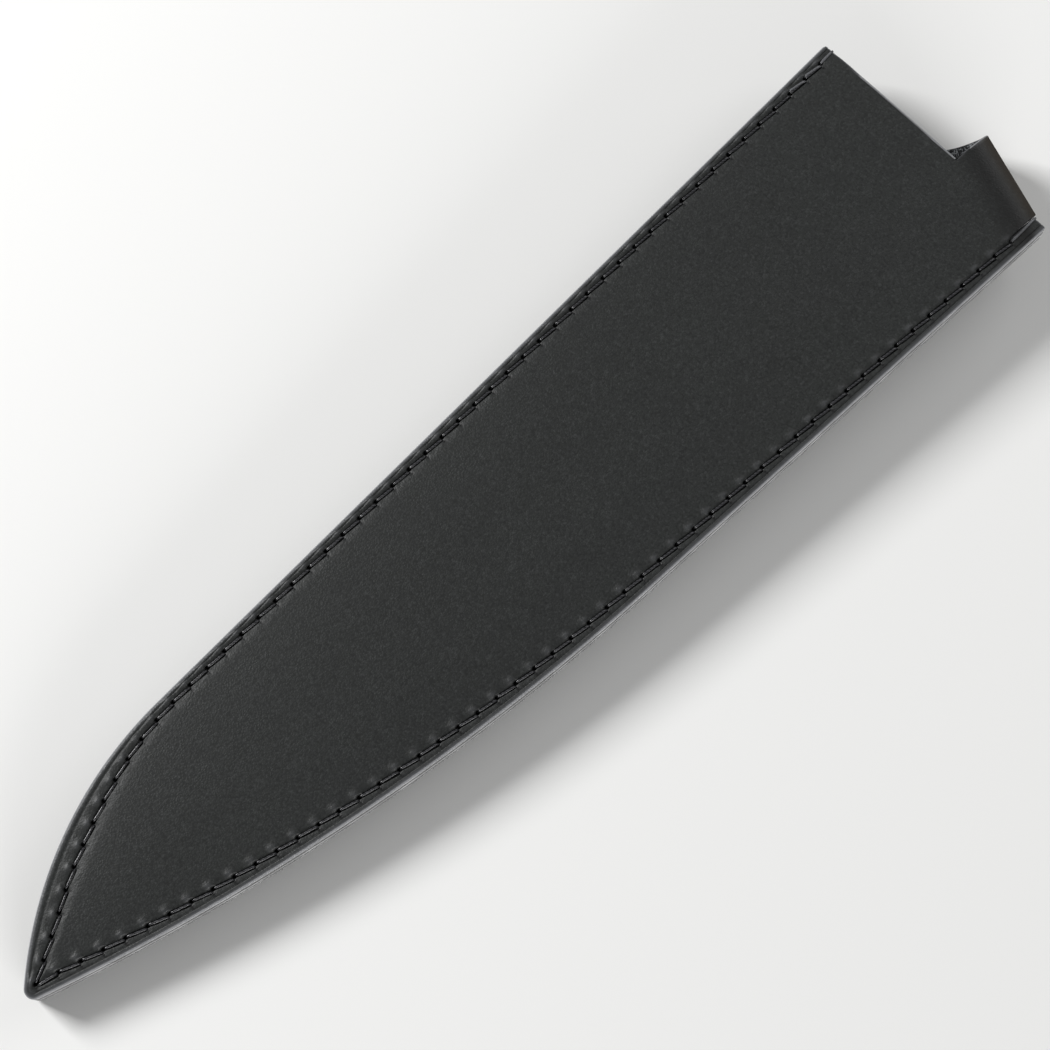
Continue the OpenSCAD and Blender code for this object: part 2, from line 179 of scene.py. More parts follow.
# The first stitch of the cutting edge leaves the hole that both seams share on its other side.
CROSSED = ("edge", 0)
# Where a thread leaves and enters, along the seam from its hole and to the side of it.
LEAVES, ENTERS, CROSSED_OUT = (0.5, 0.24), (0.6, 0.12), -0.3


def stitch_line(side, i):
    """Line of the visible part of stitch i, from beside its hole to beside the next."""
    (a, ta), (b, tb) = hole(side, i), hole(side, i + 1)
    out = CROSSED_OUT if (side, i) == CROSSED else LEAVES[1]
    leave = a + ta * LEAVES[0] + left_of(ta) * out
    return leave, b - tb * ENTERS[0] - left_of(tb) * ENTERS[1]


print("stitch pitch", {k: round(v, 3) for k, v in PITCH.items()})

# %% [markdown]
# ## The surface of a panel
# A flat cut-out would look like card. Real leather is shaped by the work: the rim is rounded
# and marked with a creaser, the thread pulls the seam in and leaves a little pillow between
# the holes, and the panel swells up inside the seam. So the height is worked out from the
# distance to the rim and to the nearest holes and stitches.

# %% Height of the leather
# _Z is a height, _D a distance in from the rim, _W a width and _R the radius of a round.
RIM_Z, PLATEAU_Z, FLANGE_Z, POCKET_Z = 13.6, 14.4, 11.6, 12.4
MIDDLE_Z = 10.1
ROUND_R = 0.7
CREASE_D, CREASE_W, CREASE_Z = 1.1, 0.13, 0.14
VALLEY_W, VALLEY_Z, OUTER_FALL = 0.8, 0.05, 0.08
SHOULDER, SHOULDER_Z, SWELL_W = (0.5, 2.1), 0.13, 17.0
STITCHED, NEAR_TIP = (0.6, 5.6), 8.0
MARKS = {side: [hole(side, i) for i in range(n + 1)] for side, n in HOLES.items()}
THREADS = {side: [stitch_line(side, i) for i in range(n)] for side, n in HOLES.items()}
print("holes", {side: len(marks) for side, marks in MARKS.items()})


def marks_near(side, s, point):
    """The holes and stitches close to a point of the seam."""
    i = round(s / PITCH[side])
    found = [(side, j) for j in range(max(0, i - 1), min(HOLES[side], i + 1) + 1)]
    if (point - SEAM_C).length < NEAR_TIP:
        found += [(k, j) for k in HOLES for j in range(3) if (k, j) not in found]
    return found


# %% Relief of the stitches
# A pit is its strength and where it starts and stops fading. A pillow is its height, its
# place along and across the seam, and its widths.
UPPER_N, UPPER_SHORT, LOWER_AT = 0.25, 0.8, (-0.3, -0.85)
# On the next two lines the second shape is no depth: it fades painted shade into the holes.
HOLE_PIT, HOLE_SHADE = (1.1, 0.17, 0.56), (1.0, 0.24, 0.66)
EXIT_PIT, EXIT_SHADE = (0.1, 0.05, 0.5), (0.85, 0.15, 0.6)
SLIT_PIT, SLIT_N, SLIT_LEAN, SLIT_MID = (0.1, 0.08, 0.4), (-0.9, 0.4), 0.2, 0.3
THREAD_PIT, THREAD_ASIDE = (0.38, 0.2, 0.46), 0.08
PILLOWS = ((0.42, -0.6, 1.2, 1.1, 0.65), (0.07, -1.6, -1.0, 1.0, 0.45))


def pit(shape, distance):
    strength, near, far = shape
    return strength * (1 - smooth(near, far, distance))


def pillow(shape, u, n):
    height, at_u, at_n, wide_u, wide_n = shape
    return height * math.exp(-(((u - at_u) / wide_u) ** 2) - ((n - at_n) / wide_n) ** 2)


def seam_relief(side, s, point):
    """How far the stitches raise and sink the leather at a point, and the painted shade of the holes."""
    sunk, raised, hole_shade = 0.0, 0.0, 0.0
    for k, j in marks_near(side, s, point):
        place, along = MARKS[k][j]
        v = point - place
        u, n = v.dot(along), along.x * v.y - along.y * v.x
        upper = math.hypot(u * UPPER_SHORT, n - UPPER_N)
        lower = math.hypot(u - LOWER_AT[0], n - LOWER_AT[1])
        sunk = max(sunk, pit(HOLE_PIT, upper), pit(EXIT_PIT, lower))
        if SLIT_N[0] < n < SLIT_N[1]:
            sunk = max(sunk, pit(SLIT_PIT, abs(u + SLIT_LEAN * (SLIT_MID - n))))
        # Painted shade in the holes, where the thread goes in and comes out.
        hole_shade = max(hole_shade, pit(HOLE_SHADE, upper), pit(EXIT_SHADE, lower))
        raised += sum(pillow(shape, u, n) for shape in PILLOWS)
        if j < HOLES[k]:
            a, b = THREADS[k][j]
            run = b - a
            aside = point - a - run * limited((point - a).dot(run) / run.length_squared)
            away = (aside + left_of(run.normalized()) * THREAD_ASIDE).length
            sunk = max(sunk, pit(THREAD_PIT, away))
    return raised, sunk, hole_shade


# %% Profile across the panel
def rim_depths(point):
    """Distances from a point of the plan to the rim at the spine and at the cutting edge."""
    spine = TIP_DROP - point.y
    if point.x < NOSE_L:
        spine = SPINE_R - (point - SPINE_C).length
    edge = EDGE_R - (point - EDGE_C).length
    if (point - EDGE_JOIN).dot(EDGE_RUN) > 0:
        edge = (point - EDGE_C).dot(turned(EDGE_END_A + math.pi)) + EDGE_R
    return max(0.0, spine), max(0.0, edge)


def swell(d):
    """Share of the panel's swelling at the depth d."""
    return 1 - (1 - limited((d - SEAM) / SWELL_W)) ** 2


def round_over(distance, r):
    """How far a cut edge of radius r falls away at a distance from it."""
    return r - math.sqrt(r * r - (r - distance) ** 2) if distance < r else 0.0


def top_z(side, s, d, point):
    """Height of the face, how much the stitches raise it there, and the painted shade of the holes."""
    z = RIM_Z - CREASE_Z * math.exp(-((d - CREASE_D) / CREASE_W) ** 2)
    z -= VALLEY_Z * math.exp(-((d - SEAM) / VALLEY_W) ** 2) + round_over(d, ROUND_R)
    if d < CREASE_D:
        z -= OUTER_FALL * ((CREASE_D - d) / CREASE_D) ** 2
    if d > SEAM:
        spine, edge = rim_depths(point)
        past, room = d - SEAM, INNER - SEAM
        if side == "spine":
            shift = nose_shift(s, SEAM)
            past += nose_shift(s, d) - shift
            spine = SEAM + past * room / (room - shift)
        z += SHOULDER_Z * smooth(*SHOULDER, past)
        z += (PLATEAU_Z - RIM_Z - SHOULDER_Z) * swell(spine) * swell(edge)
    raised, sunk, hole_shade = 0.0, 0.0, 0.0
    if STITCHED[0] < d < STITCHED[1]:
        raised, sunk, hole_shade = seam_relief(side, s, point)
    return z + raised - sunk, raised, hole_shade


# %% [markdown]
# ## Rows and columns
# The panel is one closed grid. Its columns follow the stitches from the tip to the mouth,
# closer together at each hole. Its rows run from the rim of the spine across to the rim of
# the cutting edge and back underneath. Near the mouth the middle rows are led to the corner
# where the strap begins, so the strap's cut edge is an edge of the grid.

# %% Columns
STEPS = (0, 0.05, 0.10, 0.16, 0.24, 0.35, 0.50, 0.65, 0.76, 0.84, 0.90, 0.95)
TAIL, TAIL_POWER = {"spine": 18, "edge": 30}, 1.6
FLANGE_D = 3.3
COLUMNS = HOLES["spine"] * len(STEPS) + TAIL["spine"]
FOLD_A = math.radians(18.2)
FOLD_OUT = Vector((math.cos(FOLD_A), -math.sin(FOLD_A)))
FOLD_RUN = Vector((math.sin(FOLD_A), math.cos(FOLD_A)))
FOLD_O = Vector((246.124, -19.163))
STRAP_LEAN, STRAP_W = math.radians(15), 19.1
STRAP_HALF = STRAP_W / math.cos(STRAP_LEAN) / 2
BEND_R, BEND_Z, LEATHER = 6.6, 7.8, 2.0
QUARTER = (BEND_R - LEATHER / 2) * math.pi / 2


def strap_y(u):
    """Middle of the strap at the distance u along it from the start of the bend."""
    return (u - QUARTER) * math.tan(STRAP_LEAN)


def fold_point(out, run):
    return FOLD_O + FOLD_OUT * out + FOLD_RUN * run


STRAP_CORNER = fold_point(0, strap_y(0) + STRAP_HALF)
NOTCH_T = (STRAP_CORNER.x - GUARD_L) / (FOLD_OUT.x + math.tan(STRAP_LEAN) * FOLD_RUN.x)
NOTCH = fold_point(-NOTCH_T, strap_y(-NOTCH_T) + STRAP_HALF)


def edge_end(d, folded):
    """Where a row of the cutting edge's rim ends, as a distance along the seam."""
    start = rim_point("edge", EDGE_ARC, d)
    if d < FLANGE_D or not folded:
        stop = FLANGE_END if d < FLANGE_D else GUARD_L
        return EDGE_ARC + (stop - start.x) / EDGE_RUN.x
    return EDGE_ARC + (FOLD_O - start).dot(FOLD_OUT) / EDGE_RUN.dot(FOLD_OUT)


def seam_s(side, k, d, folded):
    """Where column k lies along the seam. Past the last hole the columns come closer."""
    last = HOLES[side] * len(STEPS)
    if k < last:
        return (k // len(STEPS) + STEPS[k % len(STEPS)]) * PITCH[side]
    start, end = SPINE_LAST, SPINE_ARC + GUARD_L - NOSE_L
    if side == "edge":
        start, end = EDGE_LAST, edge_end(d, folded)
    return start + (end - start) * (1 - (1 - (k - last) / TAIL[side]) ** TAIL_POWER)


print("columns", COLUMNS, "notch", NOTCH, "strap corner", STRAP_CORNER)

# %% Rows
TOP_D = (0.0, 0.05, 0.16, 0.32, 0.52, 0.72, 0.88, 0.99, CREASE_D, 1.21, 1.33, 1.48, 1.62, 1.76,
         1.88, 2.0, 2.12, 2.24, 2.37, SEAM, 2.63, 2.76, 2.88, 3.0, 3.12, 3.25, 3.4, 3.46, 3.6,
         3.8, 4.1, 4.5, 5.0, 5.6, 6.3, INNER)
UNDER_D = (0.15, TIP_R, 3.25, 3.4, 3.46, 6.2, INNER)
MIDDLE_N, NOTCH_ROW, STRAP_INSIDE = 16, 9, (0, 0.1, 0.3)
UNDER_MIDDLE = (NOTCH_ROW, NOTCH_ROW + 1)

# Each row is its side, its depth or its number, and its layer.
ROWS = [("spine", 0.0, "wall")] + [("spine", d, "top") for d in TOP_D]
ROWS += [("middle", j, "top") for j in range(1, MIDDLE_N)]
ROWS += [("edge", d, "top") for d in reversed(TOP_D)] + [("edge", 0.0, "wall")]
ROWS += [("edge", d, "under") for d in UNDER_D]
ROWS += [("middle", j, "under") for j in reversed(UNDER_MIDDLE)]
ROWS += [("spine", d, "under") for d in reversed(UNDER_D)]
print("rows", len(ROWS))


def mouth_line(folded):
    """The two ends of the line that the middle rows would run to by themselves."""
    first = Vector((GUARD_L, TIP_DROP - INNER))
    return first, rim_point("edge", edge_end(INNER, folded), INNER)


def middle_end(j, folded):
    """Where a middle row ends: on the mouth, at the strap's corner or along the fold."""
    first, last = mouth_line(folded)
    if not folded:
        return first.lerp(last, j / MIDDLE_N)
    if j <= NOTCH_ROW:
        return first.lerp(NOTCH, j / NOTCH_ROW)
    start = NOTCH_ROW + len(STRAP_INSIDE)
    if j <= start:
        return STRAP_CORNER - FOLD_RUN * STRAP_INSIDE[j - NOTCH_ROW - 1]
    return (STRAP_CORNER - FOLD_RUN * STRAP_INSIDE[-1]).lerp(last, (j - start) / (MIDDLE_N - start))


# %% Place of each grid point
# The middle rows are led to the strap's corner from LED_FROM on. FAR stands for no edge nearby.
LED_FROM = 222.0
MOUTH_CORNER = Vector((GUARD_L, TIP_DROP))
HEEL_CORNER = Vector((FLANGE_END, edge_y(FLANGE_END)))
CORNERS = ((MOUTH_CORNER, (1, 1), 0.7), (HEEL_CORNER, (1, -1), 0.35))
FLESH_D, FAR = (3.2, 6.2), 9.0
FACE_END_R, FLESH_END_R, STRAP_SIDE_R, STRAP_SIDE_D = 0.35, 0.15, 0.25, 0.1
STRAP_FREE_D, RISE_TO_FOLD = 3.43, (-7, -0.2)
# Where a pillow rises above HILL_LOW, its rim depth is lowered, so that the rub colour paints a highlight on
# it.
HILL_LOW, HILL_HIGHLIGHT, HILL_HIGHLIGHT_FROM = 0.03, 0.75, 1.04


def rounded_corner(point, at, sense, r):
    """Rounds the corner at a point of the plan. sense says which way it points."""
    q = Vector(((point.x - at.x) * sense[0] + r, (point.y - at.y) * sense[1] + r))
    if min(q) <= 0 or q.length < 1e-9:
        return point
    q *= max(q) / q.length
    return Vector((at.x + (q.x - r) * sense[0], at.y + (q.y - r) * sense[1]))


def plan_point(row, k, folded):
    """Plan position of a grid point and its distance along the seam."""
    side, value, _ = row
    if side != "middle":
        s = seam_s(side, k, value, folded)
        p = rim_point(side, s, value)
        for at, sense, r in CORNERS:
            p = rounded_corner(p, at, sense, r)
        return p, s
    a = rim_point("spine", seam_s("spine", k, INNER, folded), INNER)
    b = rim_point("edge", seam_s("edge", k, INNER, folded), INNER)
    share = value / MIDDLE_N
    led = max(0.0, (a.x - LED_FROM) / (GUARD_L - LED_FROM))
    first, last = mouth_line(folded)
    return a.lerp(b, share) + (middle_end(value, folded) - first.lerp(last, share)) * led, 0.0


def fold_rise(side, d, point):
    """Near the fold the strap comes up level, free of the seam beside it."""
    if side == "edge" and d < STRAP_FREE_D:
        return 0.0
    return smooth(*RISE_TO_FOLD, (point - FOLD_O).dot(FOLD_OUT))


def grid_point(row, k, folded):
    """Place of a grid point, its distance from the nearest cut edge, and the painted shade of the holes. On
    a stitch pillow the distance is made smaller, so the rub colour puts a painted highlight there.
    """
    side, value, layer = row
    p, s = plan_point(row, k, folded)
    d = min(rim_depths(p)) if side == "middle" else value
    rise = fold_rise(side, d, p) if folded and side != "spine" else 0.0
    if layer == "wall":
        return Vector((p.x, p.y, FLANGE_Z + FLESH_END_R)), 0.0, 0.0
    on_flange = side == "edge" and value < FLANGE_D
    beside_strap = side == "middle" and value <= NOTCH_ROW
    ends_here = not folded or side == "spine" or on_flange or beside_strap
    to_end = max(0.0, (FLANGE_END if on_flange else GUARD_L) - p.x) if ends_here else FAR
    if layer == "under":
        z = FLANGE_Z + (POCKET_Z - FLANGE_Z) * smooth(*FLESH_D, d)
        z += (POCKET_Z - z) * rise + round_over(to_end, FLESH_END_R)
        return Vector((p.x, p.y, z)), d, 0.0
    z, raised, hole_shade = top_z(side, s, d, p)
    z += (PLATEAU_Z - z) * rise
    if folded and side == "middle" and p.x > GUARD_L - 0.5:
        across = (STRAP_CORNER - p).dot(FOLD_RUN)
        out = (p - FOLD_O).dot(FOLD_OUT)
        from_side = max(0.0, (across + math.tan(STRAP_LEAN) * out) * math.cos(STRAP_LEAN))
        z -= round_over(from_side, STRAP_SIDE_R)
        to_end = min(to_end, from_side + STRAP_SIDE_D)
    # A pillow gets a smaller rim depth, so the rub colour puts a painted highlight on it.
    highlight_depth = HILL_HIGHLIGHT_FROM - HILL_HIGHLIGHT * raised if raised > HILL_LOW else FAR
    place = Vector((p.x, p.y, z - round_over(to_end, FACE_END_R)))
    return place, max(0.0, min(d, to_end * 2, highlight_depth)), hole_shade


# %% [markdown]
# ## From the grid to a panel
# create_grid makes the flat net and the placing above lays it out. Welding joins the first
# row to the last and closes the tip, where the rows of both sides meet. The small round of
# the tip is spun about its own centre, and the cut ends are closed with flat faces.

# %% Helpers for finished pieces
SHARP = math.radians(62)


def linked(name, data):
    """A new object in the scene."""
    made = bpy.data.objects.new(name, data)
    bpy.context.scene.collection.objects.link(made)
    return made


def mesh_of(bm, name):
    """Writes a bmesh to a new mesh and frees it."""
    mesh = bpy.data.meshes.new(name)
    bm.to_mesh(mesh)
    bm.free()
    return mesh


def to_piece(bm, name, materials, body=None, lay=True):
    """Turns a mesh drawn in millimetres from the tip into a finished piece in metres."""
    bmesh.ops.translate(bm, verts=bm.verts, vec=-MID)
    bmesh.ops.scale(bm, verts=bm.verts, vec=(MM, MM, MM))
    bmesh.ops.recalc_face_normals(bm, faces=bm.faces)
    for face in bm.faces:
        face.smooth = True
    for e in bm.edges:
        if len(e.link_faces) == 2 and e.calc_face_angle(0) > SHARP:
            e.smooth = False
    vectors = bm.verts.layers.float_vector
    if lay and vectors.get("lay") is None:
        layer = vectors.new("lay")
        for v in bm.verts:
            v[layer] = v.co
    mesh = mesh_of(bm, name)
    piece = linked(name, mesh)
    for m in materials:
        mesh.materials.append(m)
    if body:
        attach(piece, body)
    mesh.calc_loop_triangles()
    print(name, "triangles", len(mesh.loop_triangles))
    return piece


def plain_material(name):
    material = bpy.data.materials.new(name)
    material.use_nodes = True
    return material


GRAIN, CUT, FLESH = (plain_material(n) for n in ("pebbled_leather", "burnished_edge", "flesh_side"))
THREAD, METAL, SPRING = (plain_material(n) for n in ("waxed_thread", "nickel_snap", "spring_steel"))
LEATHER_SLOTS = [GRAIN, CUT, FLESH]
ON_TOP, ON_EDGE, ON_FLESH = 0, 1, 2
LAYER_SLOT = {"top": ON_TOP, "under": ON_FLESH}


# %% Lay out a grid
def laid_grid(rows, columns, place):
    """A closed net of rows and columns, with each of its points put in place."""
    bm = bmesh.new()
    bmesh.ops.create_grid(bm, x_segments=columns, y_segments=len(rows), size=0.5)
    # rim keeps the depth that the rub and the painted highlight read, holes the painted shade of the stitch
    # holes.
    for name in ("rim", "holes", "step_up"):
        bm.verts.layers.float.new(name)
    depth, holes = bm.verts.layers.float["rim"], bm.verts.layers.float["holes"]
    net = {}
    for v in bm.verts:
        k = round((v.co.x + 0.5) * columns)
        i = round((v.co.y + 0.5) * len(rows)) % len(rows)
        net.setdefault((k, i), []).append(v)
    for face in bm.faces:
        numbers = sorted(round((v.co.y + 0.5) * len(rows)) for v in face.verts)
        a, b = rows[numbers[0]][2], rows[numbers[-1] % len(rows)][2]
        face.material_index = LAYER_SLOT.get(a, ON_EDGE) if a == b else ON_EDGE
    for (k, i), verts in net.items():
        p, from_rim, hole_shade = place(rows[i], k)
        for v in verts:
            v.co, v[depth], v[holes] = p, from_rim, hole_shade
    doubled = {verts[1]: verts[0] for verts in net.values() if len(verts) > 1}
    bmesh.ops.weld_verts(bm, targetmap=doubled)
    starts, ends = ([net[(k, i)][0] for i in range(len(rows))] for k in (0, columns))
    return bm, starts, ends


def spun_tip(bm, starts, rows, side, share):
    """Carries the rim round the tip about the small circle's own centre."""
    step_up = bm.verts.layers.float["step_up"]
    across = {row[1:]: v for v, row in zip(starts, rows) if row[0] != side}
    ring = [v for v, row in zip(starts, rows) if row[0] == side and row[1] <= TIP_R]
    for v, row in zip(starts, rows):
        if v in ring and row[1:] in across:
            v[step_up] = across[row[1:]].co.z - v.co.z
    edges = {e for v in ring for e in v.link_edges if e.other_vert(v) in ring}
    a, b = angle_at(TIP_C, SPINE_C), angle_at(TIP_C, EDGE_C) % TURN
    turn = (b - a) * share if side == "spine" else (a - b) * share
    before = set(bm.verts)
    bmesh.ops.spin(bm, geom=ring + list(edges), cent=(TIP_C.x, TIP_C.y, 0), axis=(0, 0, 1),
                   angle=turn, steps=14, use_duplicate=False)
    for v in set(bm.verts) - before:
        at = angle_at(v.co.xy, TIP_C) % TURN
        v.co.z += v[step_up] * limited((at - a) / (b - a))


# %% Make the two panels
WELD = 0.002


def leather_panel(name, folded, mirrored):
    bm, starts, ends = laid_grid(ROWS, COLUMNS, lambda row, k: grid_point(row, k, folded))
    cuts = [("edge", 3.4), ("edge", 3.25)]
    if folded:
        cuts = [("middle", NOTCH_ROW), ("middle", NOTCH_ROW + 1)] + cuts
    marks = [0] + [ROWS.index(cut + ("top",)) for cut in cuts]
    backs = [len(ROWS)] + [ROWS.index(cut + ("under",)) for cut in cuts]
    for n, (first, last) in enumerate(zip(marks, marks[1:] + backs[-1:])):
        loop = ends[first:last + 1]
        if n < len(cuts):
            loop += ends[backs[n + 1]:backs[n] + 1]
        bm.faces.new(loop).material_index = ON_EDGE
    spun_tip(bm, starts, ROWS, "spine", 1.0)
    bmesh.ops.remove_doubles(bm, verts=bm.verts, dist=WELD)
    if mirrored:
        for v in bm.verts:
            v.co.z = 2 * MIDDLE_Z - v.co.z
    print(name, "open edges", sum(len(e.link_faces) != 2 for e in bm.edges))
    return to_piece(bm, name, LEATHER_SLOTS, "sheath")


face_leather = leather_panel("face_leather", True, False)
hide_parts("face_panel")
back_leather = leather_panel("back_leather", False, True)
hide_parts("back_panel")

# %% [markdown]
# ## The welts
# A strip of thick leather lies between the panels along each seam, so that the blade never
# touches the thread. Only its burnished outer side shows. It follows the same rim, on fewer
# columns, and each strip goes half way round the tip.

# %% Make the welts
WELT_W, WELT_LOW, WELT_TOP, WELT_ROUND = 4.5, 8.6, 11.6, 0.14
WELT_ROWS = ((0.0, WELT_LOW + WELT_ROUND), (0.0, WELT_TOP - WELT_ROUND), (WELT_ROUND, WELT_TOP),
             (TIP_R, WELT_TOP), (WELT_W, WELT_TOP), (WELT_W, WELT_LOW), (TIP_R, WELT_LOW),
             (WELT_ROUND, WELT_LOW))
WELT_EVERY = 3


def close_holes(bm):
    bmesh.ops.holes_fill(bm, edges=[e for e in bm.edges if e.is_boundary], sides=0)


def welt(name, side):
    rows = [(side, d, z) for d, z in WELT_ROWS]

    def place(row, k):
        p, _ = plan_point((side, row[1], "top"), k * WELT_EVERY, True)
        return Vector((p.x, p.y, row[2])), row[1], 0.0

    bm, starts, ends = laid_grid(rows, COLUMNS // WELT_EVERY, place)
    for face in bm.faces:
        face.material_index = 0
    bm.faces.new(ends)
    spun_tip(bm, starts, rows, side, 0.5)
    bmesh.ops.remove_doubles(bm, verts=bm.verts, dist=WELD)
    close_holes(bm)
    piece = to_piece(bm, name, [CUT], "sheath")
    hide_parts(side + "_welt")
    return piece


welt("spine_welt_strip", "spine")
welt("edge_welt_strip", "edge")

# %% [markdown]
# ## The strap
# The strap is one piece of leather with the face panel. It bends round the blade's heel in
# a half circle, a little askew, and ends round at the snap. Its two halves are separate
# pieces that meet at the outermost line of the bend, because each bends at one joint. They
# keep where each point lies on the flat leather, so the grain runs on round the bend.

# %% Section and bend
EDGE_ROUND, BEND_STEPS, NEAR_SIDE_LESS_HIGHLIGHT = 0.3, 24, 0.5
MID_R = BEND_R - LEATHER / 2
TINY = 1e-4


def in_row(bm):
    """Turns a drawing of the fold, X outwards and Y along it, into the pattern's place."""
    turn = Matrix(((FOLD_OUT.x, FOLD_RUN.x, 0), (FOLD_OUT.y, FOLD_RUN.y, 0), (0, 0, 1)))
    bmesh.ops.rotate(bm, verts=bm.verts, cent=(0, 0, 0), matrix=turn)
    bmesh.ops.translate(bm, verts=bm.verts, vec=(FOLD_O.x, FOLD_O.y, 0))


def strap_materials(bm):
    """Grain outside, flesh inside and a burnished cut edge all round."""
    near = 0.06
    for face in bm.faces:
        c = face.calc_center_median()
        r = math.hypot(c.x, c.z - BEND_Z) if c.x > -0.001 else abs(c.z - BEND_Z)
        face.material_index = ON_EDGE
        if r > BEND_R - near:
            face.material_index = ON_TOP
        elif r < BEND_R - LEATHER + near:
            face.material_index = ON_FLESH


def lay_flat(bm, lower):
    """Keeps where each point lies on the flat leather before it is bent."""
    lay = bm.verts.layers.float_vector.new("lay")
    rim, strap = (bm.verts.layers.float.new(name) for name in ("rim", "strap"))
    for v in bm.verts:
        x, z = v.co.x, v.co.z - BEND_Z
        if x > 0:
            u, height = MID_R * math.atan2(x, z), math.hypot(x, z) - MID_R
        else:
            u, height = 2 * QUARTER - x if lower else x, abs(z) - MID_R
        p = fold_point(u, v.co.y)
        v[lay] = Vector((p.x - MID.x, p.y - MID.y, PLATEAU_Z - LEATHER / 2 + height)) * MM
        off_middle = v.co.y - strap_y(u)
        v[rim] = max(0.0, (STRAP_HALF - abs(off_middle)) * math.cos(STRAP_LEAN))
        # The near side gets a larger depth, which keeps the painted highlight of the rim off it.
        v[rim] += NEAR_SIDE_LESS_HIGHLIGHT if off_middle < 0 else 0.0
        v[strap] = 1.0


def bend_quarter(bm, geom, sense):
    """Spins the open end of the strap a quarter round the bend, which drifts as it leans."""
    drift = QUARTER * math.tan(STRAP_LEAN) / BEND_STEPS
    bmesh.ops.spin(bm, geom=geom, cent=(0, 0, BEND_Z), axis=(0, 1, 0), angle=sense * math.pi / 2,
                   steps=BEND_STEPS, dvec=(0, sense * drift, 0), use_duplicate=False)


def finished_strap(bm, name, lower):
    close_holes(bm)
    strap_materials(bm)
    lay_flat(bm, lower)
    in_row(bm)
    return to_piece(bm, name, LEATHER_SLOTS)


# %% Upper half of the bend
def upper_bend():
    bm = bmesh.new()
    bmesh.ops.create_grid(bm, x_segments=10, y_segments=1, size=0.5)
    corners = [v for v in bm.verts if abs(abs(v.co.x) - 0.5) < TINY]
    bmesh.ops.scale(bm, verts=bm.verts, vec=(2 * STRAP_HALF, LEATHER, 1))
    bmesh.ops.bevel(bm, geom=corners, offset=EDGE_ROUND, segments=4, profile=0.5,
                    affect="VERTICES", material=-1)
    inner = [e for e in bm.edges if len(e.link_faces) == 2]
    bmesh.ops.delete(bm, geom=list(bm.faces), context="FACES_ONLY")
    bmesh.ops.delete(bm, geom=inner, context="EDGES")
    bmesh.ops.rotate(bm, verts=bm.verts, cent=(0, 0, 0),
                     matrix=Matrix(((0, 0, 1), (1, 0, 0), (0, 1, 0))))
    bmesh.ops.translate(bm, verts=bm.verts, vec=(0, strap_y(0), PLATEAU_Z - LEATHER / 2))
    bend_quarter(bm, list(bm.verts) + list(bm.edges), 1)
    return finished_strap(bm, "strap_bend_upper", False)


strap_upper = upper_bend()

# %% Flap with its round end
SNAP_S = 26 * math.cos(STRAP_LEAN)
SNAP_Y = strap_y(2 * QUARTER) + SNAP_S * math.tan(STRAP_LEAN)
STRAP_LOW = 1.2


def flat_flap():
    """The flap as it is cut: straight sides and a round end about the snap."""
    bm = bmesh.new()
    centre = Vector((-SNAP_S, SNAP_Y, STRAP_LOW))
    along = Vector((-math.cos(STRAP_LEAN), math.sin(STRAP_LEAN), 0))
    place = Matrix.Translation(centre) @ Matrix.Rotation(-STRAP_LEAN, 4, "Z")
    bmesh.ops.create_circle(bm, segments=72, radius=STRAP_W / 2, cap_ends=False, matrix=place)
    back = [v for v in bm.verts if (v.co - centre).dot(along) < -TINY]
    bmesh.ops.delete(bm, geom=back, context="VERTS")
    tails = [v for v in bm.verts if len(v.link_edges) == 1]
    made = bmesh.ops.extrude_vert_indiv(bm, verts=tails)["verts"]
    for v in made:
        v.co -= along * (v.co.x / along.x)
    bm.edges.new(made)
    bmesh.ops.contextual_create(bm, geom=list(bm.edges))
    grown = bmesh.ops.extrude_face_region(bm, geom=list(bm.faces))["geom"]
    bmesh.ops.translate(bm, verts=[g for g in grown if isinstance(g, bmesh.types.BMVert)],
                        vec=(0, 0, LEATHER))
    return bm


def at_fold(part):
    """Whether all of an edge or a face lies on the line where the bend begins."""
    return all(abs(v.co.x) < TINY for v in part.verts)


def lower_strap():
    bm = flat_flap()
    level = [e for e in bm.edges if abs(e.verts[0].co.z - e.verts[1].co.z) < 1e-6]
    rims = [e for e in level if not at_fold(e)]
    bmesh.ops.bevel(bm, geom=rims, offset=EDGE_ROUND, segments=4, profile=0.5, affect="EDGES",
                    material=-1)
    end = [f for f in bm.faces if at_fold(f)]
    long_edges = list({e for f in end for e in f.edges if e.calc_length() > 5})
    bmesh.ops.delete(bm, geom=end, context="FACES_ONLY")
    bmesh.ops.subdivide_edges(bm, edges=long_edges, cuts=9)
    ring = [v for v in bm.verts if abs(v.co.x) < TINY]
    bend_quarter(bm, ring + [e for e in bm.edges if at_fold(e)], -1)
    bmesh.ops.remove_doubles(bm, verts=bm.verts, dist=0.001)
    return finished_strap(bm, "strap_flap", True)


strap_flap = lower_strap()


def row_point(out, run, z):
    """A point of the fold's drawing in the row frame, in metres."""
    p = fold_point(out, run)
    return Vector((p.x - MID.x, p.y - MID.y, z)) * MM


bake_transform(strap_upper, "sheath", "bend",
         start=row_point(0.8, 0, BEND_Z + 6), end=row_point(6.4, 0, BEND_Z + 1.2))
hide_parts("heel_bend")
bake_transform(strap_flap, "bend", "flap",
         start=row_point(6.4, 0, BEND_Z - 1.2), end=row_point(0.8, 0, BEND_Z - 6))
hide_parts("heel_flap")

# %% [markdown]
# ## The stitches
# A waxed thread rises out of one hole, lies across and dives into the next. One stitch is
# drawn from a ring of eight points that is extruded from place to place. It is then copied
# to every pair of holes, with small differences, as handwork has.

# %% Thread
THREAD_R, THREAD_SIDES, SUNK = 0.23, 8, 0.04
RISE = ((0.02, 0.34, -1.1), (0.045, 0.33, -0.55), (0.1, 0.28, -0.12), (0.19, 0.2, 0.04),
        (0.4, 0.1, 0.05), (0.65, 0.02, 0.05), (0.8, -0.04, 0.03), (0.88, -0.15, -0.12),
        (0.93, -0.27, -0.55), (0.95, -0.36, -1.1))


